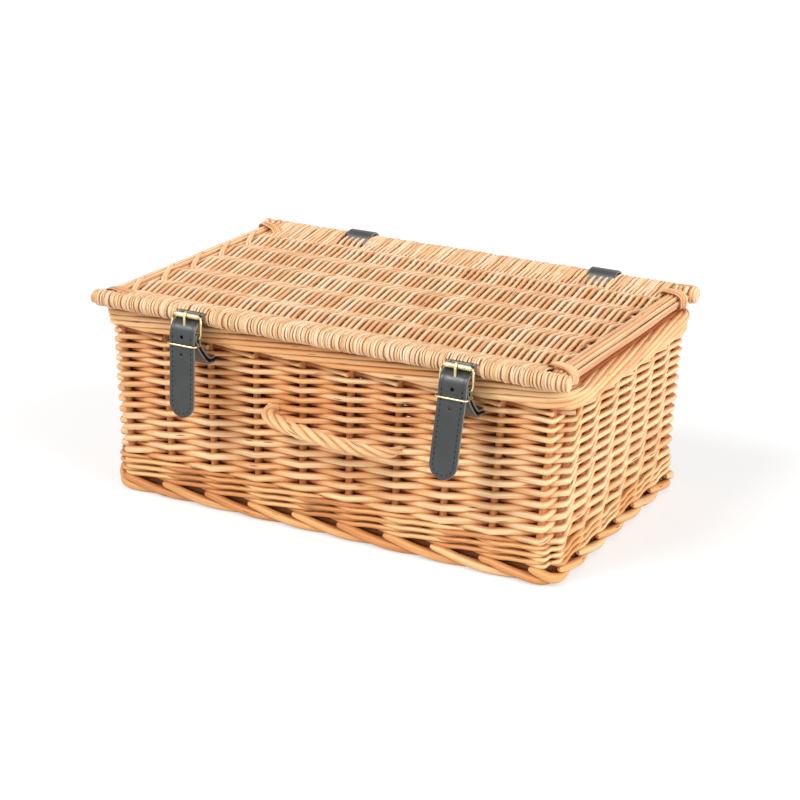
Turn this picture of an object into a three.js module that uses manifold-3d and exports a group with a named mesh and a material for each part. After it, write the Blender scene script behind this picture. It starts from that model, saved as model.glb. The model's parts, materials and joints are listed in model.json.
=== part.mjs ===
// Willow hamper with a hinged lid, two buckled leather straps and a rope handle.
// Millimetres, +Z up, front towards -Y. The origin is the middle of the underside.
import * as THREE from 'three';
import { ConvexGeometry } from 'three/addons/geometries/ConvexGeometry.js';
import { mergeVertices } from 'three/addons/utils/BufferGeometryUtils.js';
import Module from 'manifold-3d';

// Clearances
const fitGap = 0.3; // between pieces that lie against each other
const runGap = 0.4; // round a rail, bar or peg that leather or brass turns on
const sideGap = 0.7; // between a strap's edge and the brass beside it

// Basket body
const borderWidth = 468; // left to right over the top border
const borderDepth = 276; // front to rear over the top border
const borderHeight = 22;
const borderThickness = 17;
const borderProud = 6; // how far the top border stands out from the siding
const borderRound = 5; // flat that eases the border's top edges
const sidingHeight = 119;
const wallThickness = 10;
const endFlare = 9; // how far each end wall leans out, floor to border
const sideFlare = -2; // the same for the front and rear walls, which lean in
const waleHeight = 19;
const waleProud = 2.5;
const footHeight = 15;
const footProud = 5;
const cornerCut = 14; // flat across each corner
const cornerPlug = 1.6; // how far a corner narrows where it is seated in the course below
const longStakeCount = 10; // stakes in the front and rear walls, with those at the corners
const endStakeCount = 7; // stakes in the left and right walls
const lowCourse = 11.3; // from one float of the siding to the next above it, at the wale
const highCourse = 8; // the same at the top border
const floatProud = 1; // how far a float stands out from the wall's face as it crosses a stake
const weaveHollow = 3.3; // how far the weave between the floats lies behind that face
const baseThickness = 14;
const baseStickCount = 5;
const baseStickDiameter = 8;
const baseStickPitch = 44;

// Lid
const railDiameter = 17; // willow rail with the lid rods wrapped round it
const railOverhang = 4; // rail axis beyond the border's face
const railEndInset = 3; // rail end inside the border's end
const lidThickness = 14;
const lidSideWidth = 16;
const lidSideHeight = 10;
const lidSideInset = 9; // side frame's face inside the border's end
const lidStickCount = 5;
const lidStickDiameter = 5;
const lidRodDiameter = 3.6;
const lidRodPitch = 3.05; // between the lid rods, which go over and under the sticks by turns
const bindingWidth = 5;
const bindingThickness = 2;

// Leather hinge loops
const hingeSpacing = 257;
const hingeCentre = 11; // middle of the two loops, right of the basket's middle
const hingeWidth = 28;
const hingeLeather = 2.2;

// Rope handle
const handleSpan = 126; // between the two places where it enters the front wall
const handleCentre = 11; // middle of the handle, right of the basket's middle
const handleHeight = 99; // middle of the handle above the floor
const handleTilt = 5.4; // degrees that its right end hangs lower
const handleReach = 24; // rope axis in front of the wall at its middle
const handleDiameter = 13.5;
const handleFullness = 2.6; // 2 makes the bow an ellipse, more makes it squarer
const handleSwing = 20; // degrees up and down

// Closures: lid strap, buckle and buckle strap
const closureSpacing = 261.5;
const closureCentre = 7.75; // middle of the two straps, right of the basket's middle
const strapWidth = 26;
const strapLeather = 2;
const strapReach = 90; // from the roller down to the strap's tip
const strapLean = { left: 3, right: 13 }; // degrees that each strap hangs outwards
const strapStart = 0.3; // radians above level, where the strap's tail leaves its loop
const strapDipDepth = 2; // how far the strap dips under the roller
const strapShoulderDrop = 5.2; // below the roller, where the strap turns down
const strapBulgeRise = 4.8; // above the heel bar, where the strap stands out
const strapHoleDiameter = 3.4;
const strapHolePitch = 15.4;
const strapHoleCount = 2;
const buckleWire = 2.2;
const buckleBevel = 0.5;
const buckleCorner = 4;
const buckleLength = 18.5; // heel bar to end bar
const buckleLean = 4.6; // degrees that the buckle leans in at its top
const rollerDiameter = 4.6;
const rollerRise = 3.2; // roller axis above the rail axis
const prongWidth = 2.4;
const prongThickness = 2.2;
const prongEyeWidth = 3.4;
const prongTipTurn = 72; // degrees that the prong's tip follows the roller round
const keeperWire = 1.6;
const keeperBevel = 0.35;
const keeperSlack = 1; // between the lid strap's face and the keeper's front wire
const keeperDown = 6; // along the buckle strap, from the heel bar to the keeper's rear wire
const buckleLeather = 2.2;
const buckleStrapSlit = 2.4; // between the two plies of the buckle strap
const buckleStrapWidth = 25;
const upperRunIn = 3; // upper run of the buckle strap, towards the wall
const upperRunDown = 9; // upper run of the buckle strap, downwards
const exitDrop = 11.5; // buckle strap's way through the wall, below the border
const exitBendDepth = 10; // wall face to the bend where the buckle strap turns up
const pegDiameter = 6;
const pegLength = 44;

// Facets on round pieces
const rodSides = 16;
const wireSides = 12;
const handleSteps = 12;

// Levels
const footTop = footHeight;
const waleTop = footTop + waleHeight;
const sidingTop = waleTop + sidingHeight;
const borderTop = sidingTop + borderHeight;
const railRadius = railDiameter / 2;
const railY = borderDepth / 2 + railOverhang;
const railZ = borderTop + fitGap + lidThickness / 2;
const railLength = borderWidth - 2 * railEndInset;
const lidSideOuter = borderWidth / 2 - lidSideInset;
const lidHalfWidth = lidSideOuter - lidSideWidth - fitGap;
const lidHalfDepth = railY - railRadius - fitGap;

const wasm = await Module();
wasm.setup();

const hamper = new THREE.Group();

function willow() {
  return new THREE.MeshStandardMaterial({ color: 0xd8a56c, roughness: 0.6, metalness: 0 });
}

function leather() {
  return new THREE.MeshStandardMaterial({ color: 0x3f4042, roughness: 0.5, metalness: 0 });
}

function brass() {
  return new THREE.MeshStandardMaterial({ color: 0xd9bd72, roughness: 0.25, metalness: 1 });
}

function addPiece(parent, name, geometry, material) {
  const mesh = new THREE.Mesh(geometry, material);
  mesh.name = name;
  parent.add(mesh);
  return mesh;
}

// Closed geometry to a solid that can be joined and cut, and back
function toSolid(geometry) {
  const bare = geometry.clone();
  bare.deleteAttribute('normal');
  bare.deleteAttribute('uv');
  const merged = mergeVertices(bare);
  const vertProperties = new Float32Array(merged.getAttribute('position').array);
  const triVerts = new Uint32Array(merged.index.array);
  return new wasm.Manifold(new wasm.Mesh({ numProp: 3, vertProperties, triVerts }));
}

function toGeometry(solid) {
  const mesh = solid.getMesh();
  const geometry = new THREE.BufferGeometry();
  geometry.setAttribute('position', new THREE.BufferAttribute(mesh.vertProperties, 3));
  geometry.setIndex(new THREE.BufferAttribute(mesh.triVerts, 1));
  geometry.computeVertexNormals();
  return geometry;
}

function joined(geometries) {
  const solids = geometries.map(toSolid);
  return solids.reduce((whole, solid) => whole.add(solid));
}

function cut(solid, geometries) {
  return geometries.map(toSolid).reduce((whole, tool) => whole.subtract(tool), solid);
}

// Box from its lowest to its highest corner
function boxBetween(low, high) {
  const size = high.map((value, axis) => value - low[axis]);
  const box = new THREE.BoxGeometry(...size);
  return box.translate(...low.map((value, axis) => value + size[axis] / 2));
}

// Round rod along X, through a point
function rodAlongX(radius, length, [x, y, z], sides = rodSides) {
  const rod = new THREE.CylinderGeometry(radius, radius, length, sides);
  return rod.rotateZ(Math.PI / 2).translate(x, y, z);
}

// Tube along X, about the origin
function ringAlongX(inner, outer, half, sides) {
  const section = [[inner, -half], [outer, -half], [outer, half], [inner, half], [inner, -half]];
  const tube = new THREE.LatheGeometry(section.map((point) => new THREE.Vector2(...point)), sides);
  return tube.rotateZ(Math.PI / 2);
}

// A section drawn in the YZ plane, given its width along X
function extrudeAcross(shape, width) {
  const settings = { depth: width, bevelEnabled: false, curveSegments: wireSides };
  const slab = new THREE.ExtrudeGeometry(shape, settings).translate(0, 0, -width / 2);
  const across = new THREE.Matrix4().makeBasis(
    new THREE.Vector3(0, 1, 0),
    new THREE.Vector3(0, 0, 1),
    new THREE.Vector3(1, 0, 0),
  );
  return slab.applyMatrix4(across);
}

// Outline of a band of even thickness along points in the YZ plane
function bandShape(points, thickness) {
  const sides = [[], []];
  points.forEach((point, index) => {
    const before = points[Math.max(index - 1, 0)];
    const after = points[Math.min(index + 1, points.length - 1)];
    const along = new THREE.Vector2().subVectors(after, before).normalize();
    const offset = new THREE.Vector2(-along.y, along.x).multiplyScalar(thickness / 2);
    sides[0].push(point.clone().add(offset));
    sides[1].unshift(point.clone().sub(offset));
  });
  return new THREE.Shape([...sides[0], ...sides[1]]);
}

function discShape(centre, radius) {
  const shape = new THREE.Shape();
  return shape.absarc(centre.x, centre.y, radius, 0, 2 * Math.PI);
}

// Half width and half depth of the siding's outer face at a height
function wallHalf(z) {
  const leanLeft = Math.max(1 - z / sidingTop, 0);
  return {
    x: borderWidth / 2 - borderProud - endFlare * leanLeft,
    y: borderDepth / 2 - borderProud - sideFlare * leanLeft,
  };
}

// Levels of a course: where it stands out, its inner depth and where its top edges are eased
function courseLevels({ low, high, proud, inner, ease }) {
  const levels = [
    { z: low > 0 ? low + fitGap : low, proud, inner },
    { z: high - ease, proud, inner },
  ];
  if (ease > 0) {
    levels.push({ z: high, proud: proud - ease, inner: inner - ease });
  }
  return levels;
}

const outwards = { front: [0, -1], right: [1, 0], rear: [0, 1], left: [-1, 0] };

// A point of a wall: share runs from -1 to 1 between its corners, out is measured from its face
function wallPoint(side, share, z, out) {
  const half = wallHalf(z);
  const [outX, outY] = outwards[side];
  const reach = (outX === 0 ? half.y : half.x) + out;
  const along = share * ((outX === 0 ? half.x : half.y) - cornerCut - fitGap);
  return new THREE.Vector3(reach * outX - along * outY, reach * outY + along * outX, z);
}

// One straight course of a wall, between two corners
function wallCourse(side, levels) {
  const points = [];
  for (const { z, proud, inner } of levels) {
    for (const out of [proud, -inner]) {
      points.push(wallPoint(side, -1, z, out), wallPoint(side, 1, z, out));
    }
  }
  return new ConvexGeometry(points);
}

// Triangles between two rows of points that run the same way
function strip(first, second, way) {
  const triangles = [];
  let near = 0;
  let far = 0;
  while (near < first.length - 1 || far < second.length - 1) {
    const farDone = far === second.length - 1;
    const nearDone = near === first.length - 1;
    if (farDone || (!nearDone && first[near + 1].dot(way) <= second[far + 1].dot(way))) {
      triangles.push(first[near], second[far], first[near + 1]);
      near += 1;
    } else {
      triangles.push(first[near], second[far], second[far + 1]);
      far += 1;
    }
  }
  return triangles;
}

// A slab with relief on its face. The face is rows of points that run along one way and follow each
// other along the second way; the back is flat and has the four corners of the face, pushed in.
function reliefSlab(rows, along, onwards, push) {
  const first = rows[0];
  const last = rows[rows.length - 1];
  const heads = rows.map((row) => row[0]);
  const tails = rows.map((row) => row[row.length - 1]);
  const behind = (point) => point.clone().add(push);
  const [firstHead, firstTail] = [behind(first[0]), behind(first[first.length - 1])];
  const [lastHead, lastTail] = [behind(last[0]), behind(last[last.length - 1])];
  const triangles = [
    ...strip([firstTail, firstHead], [lastTail, lastHead], along.clone().negate()),
    ...strip([firstHead, firstTail], first, along),
    ...strip(last, [lastHead, lastTail], along),
    ...strip(heads, [firstHead, lastHead], onwards),
    ...strip([firstTail, lastTail], tails, onwards),
  ];
  for (let index = 1; index < rows.length; index += 1) {
    triangles.push(...strip(rows[index - 1], rows[index], along));
  }
  return new THREE.BufferGeometry().setFromPoints(triangles);
}

// Heights of the floats of the siding where they cross a stake, and of the hollows between them
function floatLevels() {
  const levels = [];
  const lowest = waleTop + fitGap + lowCourse / 4;
  const courseCount = (2 * sidingHeight) / (lowCourse + highCourse) - 1 / 2;
  for (let half = 0; half <= 2 * courseCount; half += 1) {
    const course = lowCourse + ((highCourse - lowCourse) * half) / (4 * courseCount);
    levels.push({ z: lowest + (course * half) / 2, isFloat: half % 2 === 0 });
  }
  return levels;
}

// The woven siding of one wall: at each stake the floats stand out, and the weave between lies back
function wovenSiding(side, { inner }) {
  const count = side === 'front' || side === 'rear' ? longStakeCount : endStakeCount;
  const low = waleTop + fitGap;
  const hollows = floatLevels().filter(({ isFloat }) => !isFloat);
  const between = [low, ...hollows.map(({ z }) => z), sidingTop];
  const columns = [[low, sidingTop].map((z) => wallPoint(side, -1, z, 0))];
  for (let stake = 1; stake < count - 1; stake += 1) {
    const shareAt = (place) => (2 * place) / (count - 1) - 1;
    columns.push(between.map((z) => wallPoint(side, shareAt(stake - 0.5), z, -weaveHollow)));
    const crossing = floatLevels().map(({ z, isFloat }) => (
      wallPoint(side, shareAt(stake), z, isFloat ? floatProud : -weaveHollow)));
    const ends = [low, sidingTop].map((z) => wallPoint(side, shareAt(stake), z, -weaveHollow));
    columns.push([ends[0], ...crossing, ends[1]]);
  }
  columns.push(between.map((z) => wallPoint(side, 1 - 1 / (count - 1), z, -weaveHollow)));
  columns.push([low, sidingTop].map((z) => wallPoint(side, 1, z, 0)));
  const [outX, outY] = outwards[side];
  const push = new THREE.Vector3(-outX * inner, -outY * inner, 0);
  return reliefSlab(columns, new THREE.Vector3(0, 0, 1), new THREE.Vector3(-outY, outX, 0), push);
}

// The flat corner of one course, where the weave turns from one wall to the next.
// Above the foot it narrows to a plug that is seated in the course below.
function cornerCourse(signX, signY, course) {
  const levels = courseLevels(course);
  if (course.low > 0) {
    levels.unshift({ ...levels[0], z: course.low - fitGap, plug: cornerPlug });
  }
  const points = [];
  for (const { z, proud, inner, plug = 0 } of levels) {
    const half = wallHalf(z);
    const cutX = half.x - cornerCut + plug;
    const cutY = half.y - cornerCut + plug;
    const outline = [
      [cutX, half.y + proud - plug],
      [half.x + proud - plug, cutY],
      [half.x - inner + plug, cutY],
      [cutX, half.y - inner + plug],
    ];
    outline.forEach(([x, y]) => points.push(new THREE.Vector3(signX * x, signY * y, z)));
  }
  return new ConvexGeometry(points);
}

const borderInner = borderThickness - borderProud;
const courses = {
  foot_border: { low: 0, high: footTop, proud: footProud, inner: wallThickness, ease: 0 },
  wale: { low: footTop, high: waleTop, proud: waleProud, inner: wallThickness, ease: 0 },
  siding: { low: waleTop, high: sidingTop, proud: 0, inner: wallThickness, ease: 0 },
  top_border: { low: sidingTop, high: borderTop, proud: borderProud, inner: borderInner, ease: borderRound },
};

// Where the leather and the rope pass through the walls
const exitZ = sidingTop - exitDrop;
const exitHalf = wallHalf(exitZ);
const handleHalf = wallHalf(handleHeight);
const handleAxisY = -(handleHalf.y - wallThickness / 2);
const buckleStrapThickness = 2 * buckleLeather + buckleStrapSlit;

function strapWayOut(x) {
  const halfWidth = buckleStrapWidth / 2 + fitGap;
  const halfHeight = buckleStrapThickness / 2 + fitGap;
  const deep = exitHalf.y - 2 * wallThickness;
  const front = exitHalf.y + wallThickness;
  const low = [x - halfWidth, -front, exitZ - halfHeight];
  return boxBetween(low, [x + halfWidth, -deep, exitZ + halfHeight]);
}

function handleLevel(x) {
  return handleHeight - (x - handleCentre) * Math.tan(THREE.MathUtils.degToRad(handleTilt));
}

function handleWayOut(x) {
  const swing = THREE.MathUtils.degToRad(handleSwing);
  const radius = handleDiameter / 2;
  const halfWidth = radius + fitGap;
  const halfHeight = radius / Math.cos(swing) + (wallThickness / 2) * Math.tan(swing) + 2 * fitGap;
  const level = handleLevel(x);
  const low = [x - halfWidth, handleAxisY - wallThickness, level - halfHeight];
  return boxBetween(low, [x + halfWidth, handleAxisY + wallThickness, level + halfHeight]);
}

function hingeWayOut(x) {
  const halfWidth = hingeWidth / 2 + fitGap;
  const depth = hingeLeather + 3 * fitGap;
  const half = wallHalf(sidingTop).y;
  const low = [x - halfWidth, half - 2 * wallThickness, sidingTop - depth];
  return boxBetween(low, [x + halfWidth, half + wallThickness, sidingTop + depth]);
}

const closurePlaces = { left: closureCentre - closureSpacing / 2, right: closureCentre + closureSpacing / 2 };
const hingePlaces = { left: hingeCentre - hingeSpacing / 2, right: hingeCentre + hingeSpacing / 2 };
const handleEnds = [handleCentre - handleSpan / 2, handleCentre + handleSpan / 2];
const waysOut = {
  front: [...Object.values(closurePlaces).map(strapWayOut), ...handleEnds.map(handleWayOut)],
  rear: Object.values(hingePlaces).map(hingeWayOut),
};

// Walls: four courses on each side and a post at each corner
for (const [name, course] of Object.entries(courses)) {
  for (const side of ['front', 'rear', 'left', 'right']) {
    const isSiding = name === 'siding';
    const whole = isSiding ? wovenSiding(side, course) : wallCourse(side, courseLevels(course));
    const openings = isSiding ? waysOut[side] : undefined;
    const geometry = openings ? toGeometry(cut(toSolid(whole), openings)) : whole;
    addPiece(hamper, `${name}_${side}`, geometry, willow());
  }
}

for (const [end, signX] of [['left', -1], ['right', 1]]) {
  for (const [face, signY] of [['front', -1], ['rear', 1]]) {
    const stack = Object.values(courses).map((course) => cornerCourse(signX, signY, course));
    addPiece(hamper, `corner_post_${face}_${end}`, toGeometry(joined(stack)), willow());
  }
}

// Base panel woven round its sticks
function basePanel() {
  const points = [];
  for (const z of [0, baseThickness]) {
    const half = wallHalf(z);
    const innerX = half.x - wallThickness - fitGap;
    const innerY = half.y - wallThickness - fitGap;
    const cutX = half.x - cornerCut - fitGap;
    const cutY = half.y - cornerCut - fitGap;
    for (const signX of [-1, 1]) {
      for (const signY of [-1, 1]) {
        points.push(new THREE.Vector3(signX * innerX, signY * cutY, z));
        points.push(new THREE.Vector3(signX * cutX, signY * innerY, z));
      }
    }
  }
  return toSolid(new ConvexGeometry(points));
}

const baseStickLength = 2 * (wallHalf(0).x - wallThickness - 2 * fitGap);
const baseStickTunnels = [];
for (let index = 0; index < baseStickCount; index += 1) {
  const place = [0, (index - (baseStickCount - 1) / 2) * baseStickPitch, baseThickness / 2];
  const stick = rodAlongX(baseStickDiameter / 2, baseStickLength, place);
  addPiece(hamper, `base_stick_${index + 1}`, stick, willow());
  baseStickTunnels.push(rodAlongX(baseStickDiameter / 2 + fitGap, borderWidth, place));
}
addPiece(hamper, 'base_panel', toGeometry(cut(basePanel(), baseStickTunnels)), willow());

// Lid: rails, side frames, sticks and the woven panel that holds them together
const lid = new THREE.Group();
hamper.add(lid);

for (const [face, sign] of [['front', -1], ['rear', 1]]) {
  const rail = rodAlongX(railRadius, railLength, [0, sign * railY, railZ], 2 * wireSides);
  addPiece(lid, `lid_rail_${face}`, rail, willow());
}

function sideFrame(x) {
  const bend = lidSideHeight / 2;
  const straight = lidSideWidth / 2 - bend;
  const section = new THREE.Shape();
  section.absarc(straight, 0, bend, -Math.PI / 2, Math.PI / 2);
  section.absarc(-straight, 0, bend, Math.PI / 2, 1.5 * Math.PI);
  const settings = { depth: 2 * lidHalfDepth, bevelEnabled: false, curveSegments: wireSides / 2 };
  const bar = new THREE.ExtrudeGeometry(section, settings).translate(0, 0, -lidHalfDepth);
  return bar.rotateX(Math.PI / 2).translate(x, 0, railZ);
}

function cornerBinding(x, y) {
  const inner = railRadius + fitGap;
  const ring = ringAlongX(inner, inner + bindingThickness, bindingWidth / 2, 2 * wireSides);
  return ring.translate(x, y, railZ);
}

for (const [end, sign] of [['left', -1], ['right', 1]]) {
  addPiece(lid, `lid_side_${end}`, sideFrame(sign * (lidSideOuter - lidSideWidth / 2)), willow());
  const bindingX = (lidSideOuter + railLength / 2) / 2;
  addPiece(lid, `corner_binding_front_${end}`, cornerBinding(sign * bindingX, -railY), willow());
  addPiece(lid, `corner_binding_rear_${end}`, cornerBinding(sign * bindingX, railY), willow());
}

const lidTools = [];
const lidStickPitch = (2 * railY) / (lidStickCount + 1);
for (let index = 0; index < lidStickCount; index += 1) {
  const place = [0, (index - (lidStickCount - 1) / 2) * lidStickPitch, railZ];
  const stick = rodAlongX(lidStickDiameter / 2, 2 * lidHalfWidth, place);
  addPiece(lid, `lid_stick_${index + 1}`, stick, willow());
  lidTools.push(rodAlongX(lidStickDiameter / 2 + fitGap, borderWidth, place));
}

// Slots in the panel: one for each lid strap's loop and one for each hinge loop
const strapLoopOuter = railRadius + runGap + strapLeather;
for (const x of Object.values(closurePlaces)) {
  const half = strapWidth / 2 + sideGap;
  const deep = railY - strapLoopOuter - 2 * fitGap;
  const low = [x - half, -railY, railZ - lidThickness];
  lidTools.push(boxBetween(low, [x + half, -deep, railZ + lidThickness]));
}
for (const x of Object.values(hingePlaces)) {
  const half = hingeWidth / 2 + sideGap;
  const deep = borderDepth / 2 - borderThickness - hingeLeather - 3 * fitGap;
  const low = [x - half, deep, railZ - lidThickness];
  lidTools.push(boxBetween(low, [x + half, railY, railZ + lidThickness]));
}

// Woven panel: at each stick every second rod lies on top, and between two sticks all rods are level
const lidRodCount = Math.floor((2 * lidHalfWidth) / lidRodPitch);
const lidOver = railZ + lidThickness / 2;
const lidLevel = railZ + lidRodDiameter / 2;
const lidUnder = railZ + lidStickDiameter / 2 + 2 * fitGap;

function rodsOver(y, isFirstOver) {
  const row = [new THREE.Vector3(-lidHalfWidth, y, lidLevel)];
  for (let index = 0; index < lidRodCount; index += 1) {
    const x = (index - (lidRodCount - 1) / 2) * lidRodPitch;
    const isOver = (index % 2 === 0) === isFirstOver;
    row.push(new THREE.Vector3(x, y, isOver ? lidOver : lidUnder));
  }
  row.push(new THREE.Vector3(lidHalfWidth, y, lidLevel));
  return row.reverse();
}

function rodsLevel(y, isFirstOver) {
  const row = rodsOver(y, isFirstOver);
  const valleys = row.filter((point, index) => index === 0 || index === row.length - 1 || point.z < lidOver);
  return valleys.map((point) => point.setZ(lidLevel));
}

const lidRows = [rodsOver(-lidHalfDepth, true)];
for (let index = 0; index < lidStickCount; index += 1) {
  const y = (index - (lidStickCount - 1) / 2) * lidStickPitch;
  const isFirstOver = index % 2 === 1;
  const before = index === 0 ? (y - lidHalfDepth) / 2 : y - lidStickPitch / 2;
  lidRows.push(rodsLevel(before, isFirstOver), rodsOver(y, isFirstOver));
}
lidRows.push(rodsLevel(-lidRows[1][0].y, true), rodsOver(lidHalfDepth, lidStickCount % 2 === 1));
const lidDown = new THREE.Vector3(0, 0, -lidThickness / 2 - lidRodDiameter / 2);
const lidSlab = reliefSlab(lidRows, new THREE.Vector3(-1, 0, 0), new THREE.Vector3(0, 1, 0), lidDown);
addPiece(lid, 'lid_panel', toGeometry(cut(toSolid(lidSlab), lidTools)), willow());

// Hinge loops: a taut leather band round the rear border and the rear rail
function hingeHull(grow, railGrow, width) {
  const outer = borderDepth / 2 + grow;
  const inner = borderDepth / 2 - borderThickness - grow;
  const eased = borderRound - grow * Math.tan(Math.PI / 8);
  const section = [
    [outer, sidingTop + fitGap - grow],
    [inner, sidingTop + fitGap - grow],
    [inner, borderTop - eased],
    [inner + eased + grow, borderTop + grow],
  ];
  for (let index = 0; index < 2 * wireSides; index += 1) {
    const angle = (index * Math.PI) / wireSides;
    const radius = railRadius + railGrow;
    section.push([railY + radius * Math.cos(angle), railZ + radius * Math.sin(angle)]);
  }
  const ends = [-width / 2, width / 2];
  return new ConvexGeometry(ends.flatMap((x) => section.map(([y, z]) => new THREE.Vector3(x, y, z))));
}

function hingeLoop() {
  const band = toSolid(hingeHull(fitGap + hingeLeather, runGap + hingeLeather, hingeWidth));
  return toGeometry(cut(band, [hingeHull(fitGap, runGap, 2 * hingeWidth)]));
}

for (const [end, x] of Object.entries(hingePlaces)) {
  addPiece(hamper, `hinge_loop_${end}`, hingeLoop(), leather()).position.x = x;
}

// Rope handle: a flat bow, half of a full oval, whose ends run through the front wall
function ropeHandle() {
  const inside = -(handleHalf.y - wallThickness);
  const face = -handleHalf.y;
  const half = handleSpan / 2;
  const route = [[-half, inside]];
  for (let step = 0; step <= handleSteps; step += 1) {
    const angle = (Math.PI * step) / handleSteps;
    const along = Math.sign(Math.cos(angle)) * Math.abs(Math.cos(angle)) ** (2 / handleFullness);
    const out = Math.abs(Math.sin(angle)) ** (2 / handleFullness);
    route.push([-half * along, face - handleReach * out]);
  }
  route.push([half, inside]);
  const points = route.map(([x, y]) => new THREE.Vector3(handleCentre + x, y, handleLevel(handleCentre + x)));
  const path = new THREE.CatmullRomCurve3(points, false, 'centripetal');
  const section = new THREE.Shape().absarc(0, 0, handleDiameter / 2, 0, 2 * Math.PI);
  const settings = { steps: 4 * handleSteps, extrudePath: path, curveSegments: 5, bevelEnabled: false };
  return new THREE.ExtrudeGeometry(section, settings);
}
addPiece(hamper, 'rope_handle', ropeHandle(), willow());

// Closures. Places are given as distance in front of the front rail's axis and height.
const frontAxisY = -railY;
const rollerRadius = rollerDiameter / 2;
const barRadius = Math.hypot(buckleWire / 2, buckleWire / 2 - buckleBevel);
const leanAngle = THREE.MathUtils.degToRad(buckleLean);
const rollerOut = railRadius + runGap + strapLeather + fitGap + rollerRadius;
const rollerZ = railZ + rollerRise;
const heelOut = rollerOut + buckleLength * Math.sin(leanAngle);
const heelZ = rollerZ - buckleLength * Math.cos(leanAngle);
const heelEyeOuter = barRadius + runGap + buckleLeather;
const buckleInsideHalf = strapWidth / 2 + sideGap;

function inFront(out, z) {
  return new THREE.Vector2(frontAxisY - out, z);
}

// Lid strap: a loop round the front rail, a tail under the roller, over the heel bar and down
const overHeelOut = heelOut + heelEyeOuter + fitGap + strapLeather / 2;
const strapTipZ = rollerZ - strapReach;
const firstHoleZ = heelZ + prongThickness / 2;

function strapOutAt(z, lean) {
  return overHeelOut + fitGap + Math.max(heelZ - z, 0) * Math.tan(lean);
}

function lidStrap(lean) {
  const middle = railRadius + runGap + strapLeather / 2;
  const railCentre = inFront(0, railZ);
  const ring = discShape(railCentre, middle + strapLeather / 2);
  ring.holes.push(discShape(railCentre, middle - strapLeather / 2));
  const underRoller = rollerZ - rollerRadius - strapLeather / 2 - 2 * fitGap;
  const tail = new THREE.SplineCurve([
    inFront(middle * Math.cos(strapStart), railZ + middle * Math.sin(strapStart)),
    inFront(middle + fitGap, railZ + fitGap),
    inFront(rollerOut, underRoller - strapDipDepth),
    inFront((rollerOut + overHeelOut) / 2 + strapLeather, underRoller - strapShoulderDrop),
    inFront(overHeelOut, heelZ + strapBulgeRise),
    inFront(strapOutAt(heelZ, lean), heelZ),
  ]).getPoints(20);
  tail.push(inFront(strapOutAt(strapTipZ, lean), strapTipZ));
  const blank = joined([
    extrudeAcross(ring, strapWidth),
    extrudeAcross(bandShape(tail, strapLeather), strapWidth),
  ]);
  const half = strapWidth / 2;
  const outline = new THREE.Shape();
  outline.moveTo(-half, borderTop + 2 * railDiameter);
  outline.lineTo(-half, strapTipZ + half);
  outline.absarc(0, strapTipZ + half, half, Math.PI, 2 * Math.PI);
  outline.lineTo(half, borderTop + 2 * railDiameter);
  const settings = { depth: borderDepth, bevelEnabled: false, curveSegments: wireSides };
  const plate = new THREE.ExtrudeGeometry(outline, settings);
  plate.rotateX(Math.PI / 2).translate(0, frontAxisY + borderDepth / 2, 0);
  return toGeometry(cut(blank.intersect(toSolid(plate)), strapHoles(lean)));
}

function strapHoles(lean) {
  const holes = [];
  const radius = strapHoleDiameter / 2;
  for (let index = 0; index < strapHoleCount; index += 1) {
    const z = firstHoleZ - index * strapHolePitch;
    const hole = new THREE.CylinderGeometry(radius, radius, 4 * strapLeather, wireSides);
    holes.push(hole.translate(0, frontAxisY - strapOutAt(z, lean), z));
  }
  const halfWidth = prongWidth / 2 + runGap;
  const near = frontAxisY - prongOut + prongThickness / 2 + sideGap;
  const far = frontAxisY - prongOut - prongThickness / 2 - sideGap;
  const low = [-halfWidth, far, heelZ + heelEyeOuter + fitGap];
  holes.push(boxBetween(low, [halfWidth, near, rollerZ]));
  return holes;
}

// Buckle frame and keeper: a flat ring of wire, drawn about the middle of its lower bar
function roundedOutline(halfWidth, low, high, radius) {
  const shape = new THREE.Shape();
  shape.absarc(halfWidth - radius, low + radius, radius, -Math.PI / 2, 0);
  shape.absarc(halfWidth - radius, high - radius, radius, 0, Math.PI / 2);
  shape.absarc(-halfWidth + radius, high - radius, radius, Math.PI / 2, Math.PI);
  shape.absarc(-halfWidth + radius, low + radius, radius, Math.PI, 1.5 * Math.PI);
  return shape;
}

function wireRing(insideHalf, length, wire, bevel, corner) {
  const slim = wire / 2 - bevel;
  const ring = roundedOutline(insideHalf + wire - bevel, -slim, length + slim, corner);
  ring.holes.push(roundedOutline(insideHalf + bevel, slim, length - slim, corner - slim));
  const settings = {
    depth: wire - 2 * bevel,
    bevelEnabled: true,
    bevelThickness: bevel,
    bevelSize: bevel,
    bevelSegments: 1,
    curveSegments: 4,
  };
  return new THREE.ExtrudeGeometry(ring, settings).translate(0, 0, -(wire - 2 * bevel) / 2);
}

// Roller: a tube that turns on the frame's end bar
function rollerTube() {
  const half = buckleInsideHalf - buckleCorner + buckleWire;
  return ringAlongX(barRadius + runGap / 2, rollerRadius, half, rodSides);
}

// Prong: an eye round the heel bar and a flat wire up to the roller
const prongOut = rollerOut + rollerRadius + fitGap + prongThickness / 2;

function prong() {
  const heel = inFront(heelOut, heelZ);
  const eye = discShape(heel, barRadius + runGap / 2 + prongThickness / 2);
  eye.holes.push(discShape(heel, barRadius + runGap / 2));
  const shaft = [inFront(prongOut, heelZ + barRadius + fitGap)];
  const reach = prongOut - rollerOut;
  for (const turn of [0, prongTipTurn / 2, prongTipTurn]) {
    const angle = THREE.MathUtils.degToRad(turn);
    shaft.push(inFront(rollerOut + reach * Math.cos(angle), rollerZ + reach * Math.sin(angle)));
  }
  return toGeometry(joined([
    extrudeAcross(eye, prongEyeWidth),
    extrudeAcross(bandShape(shaft, prongThickness), prongWidth),
  ]));
}

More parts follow.
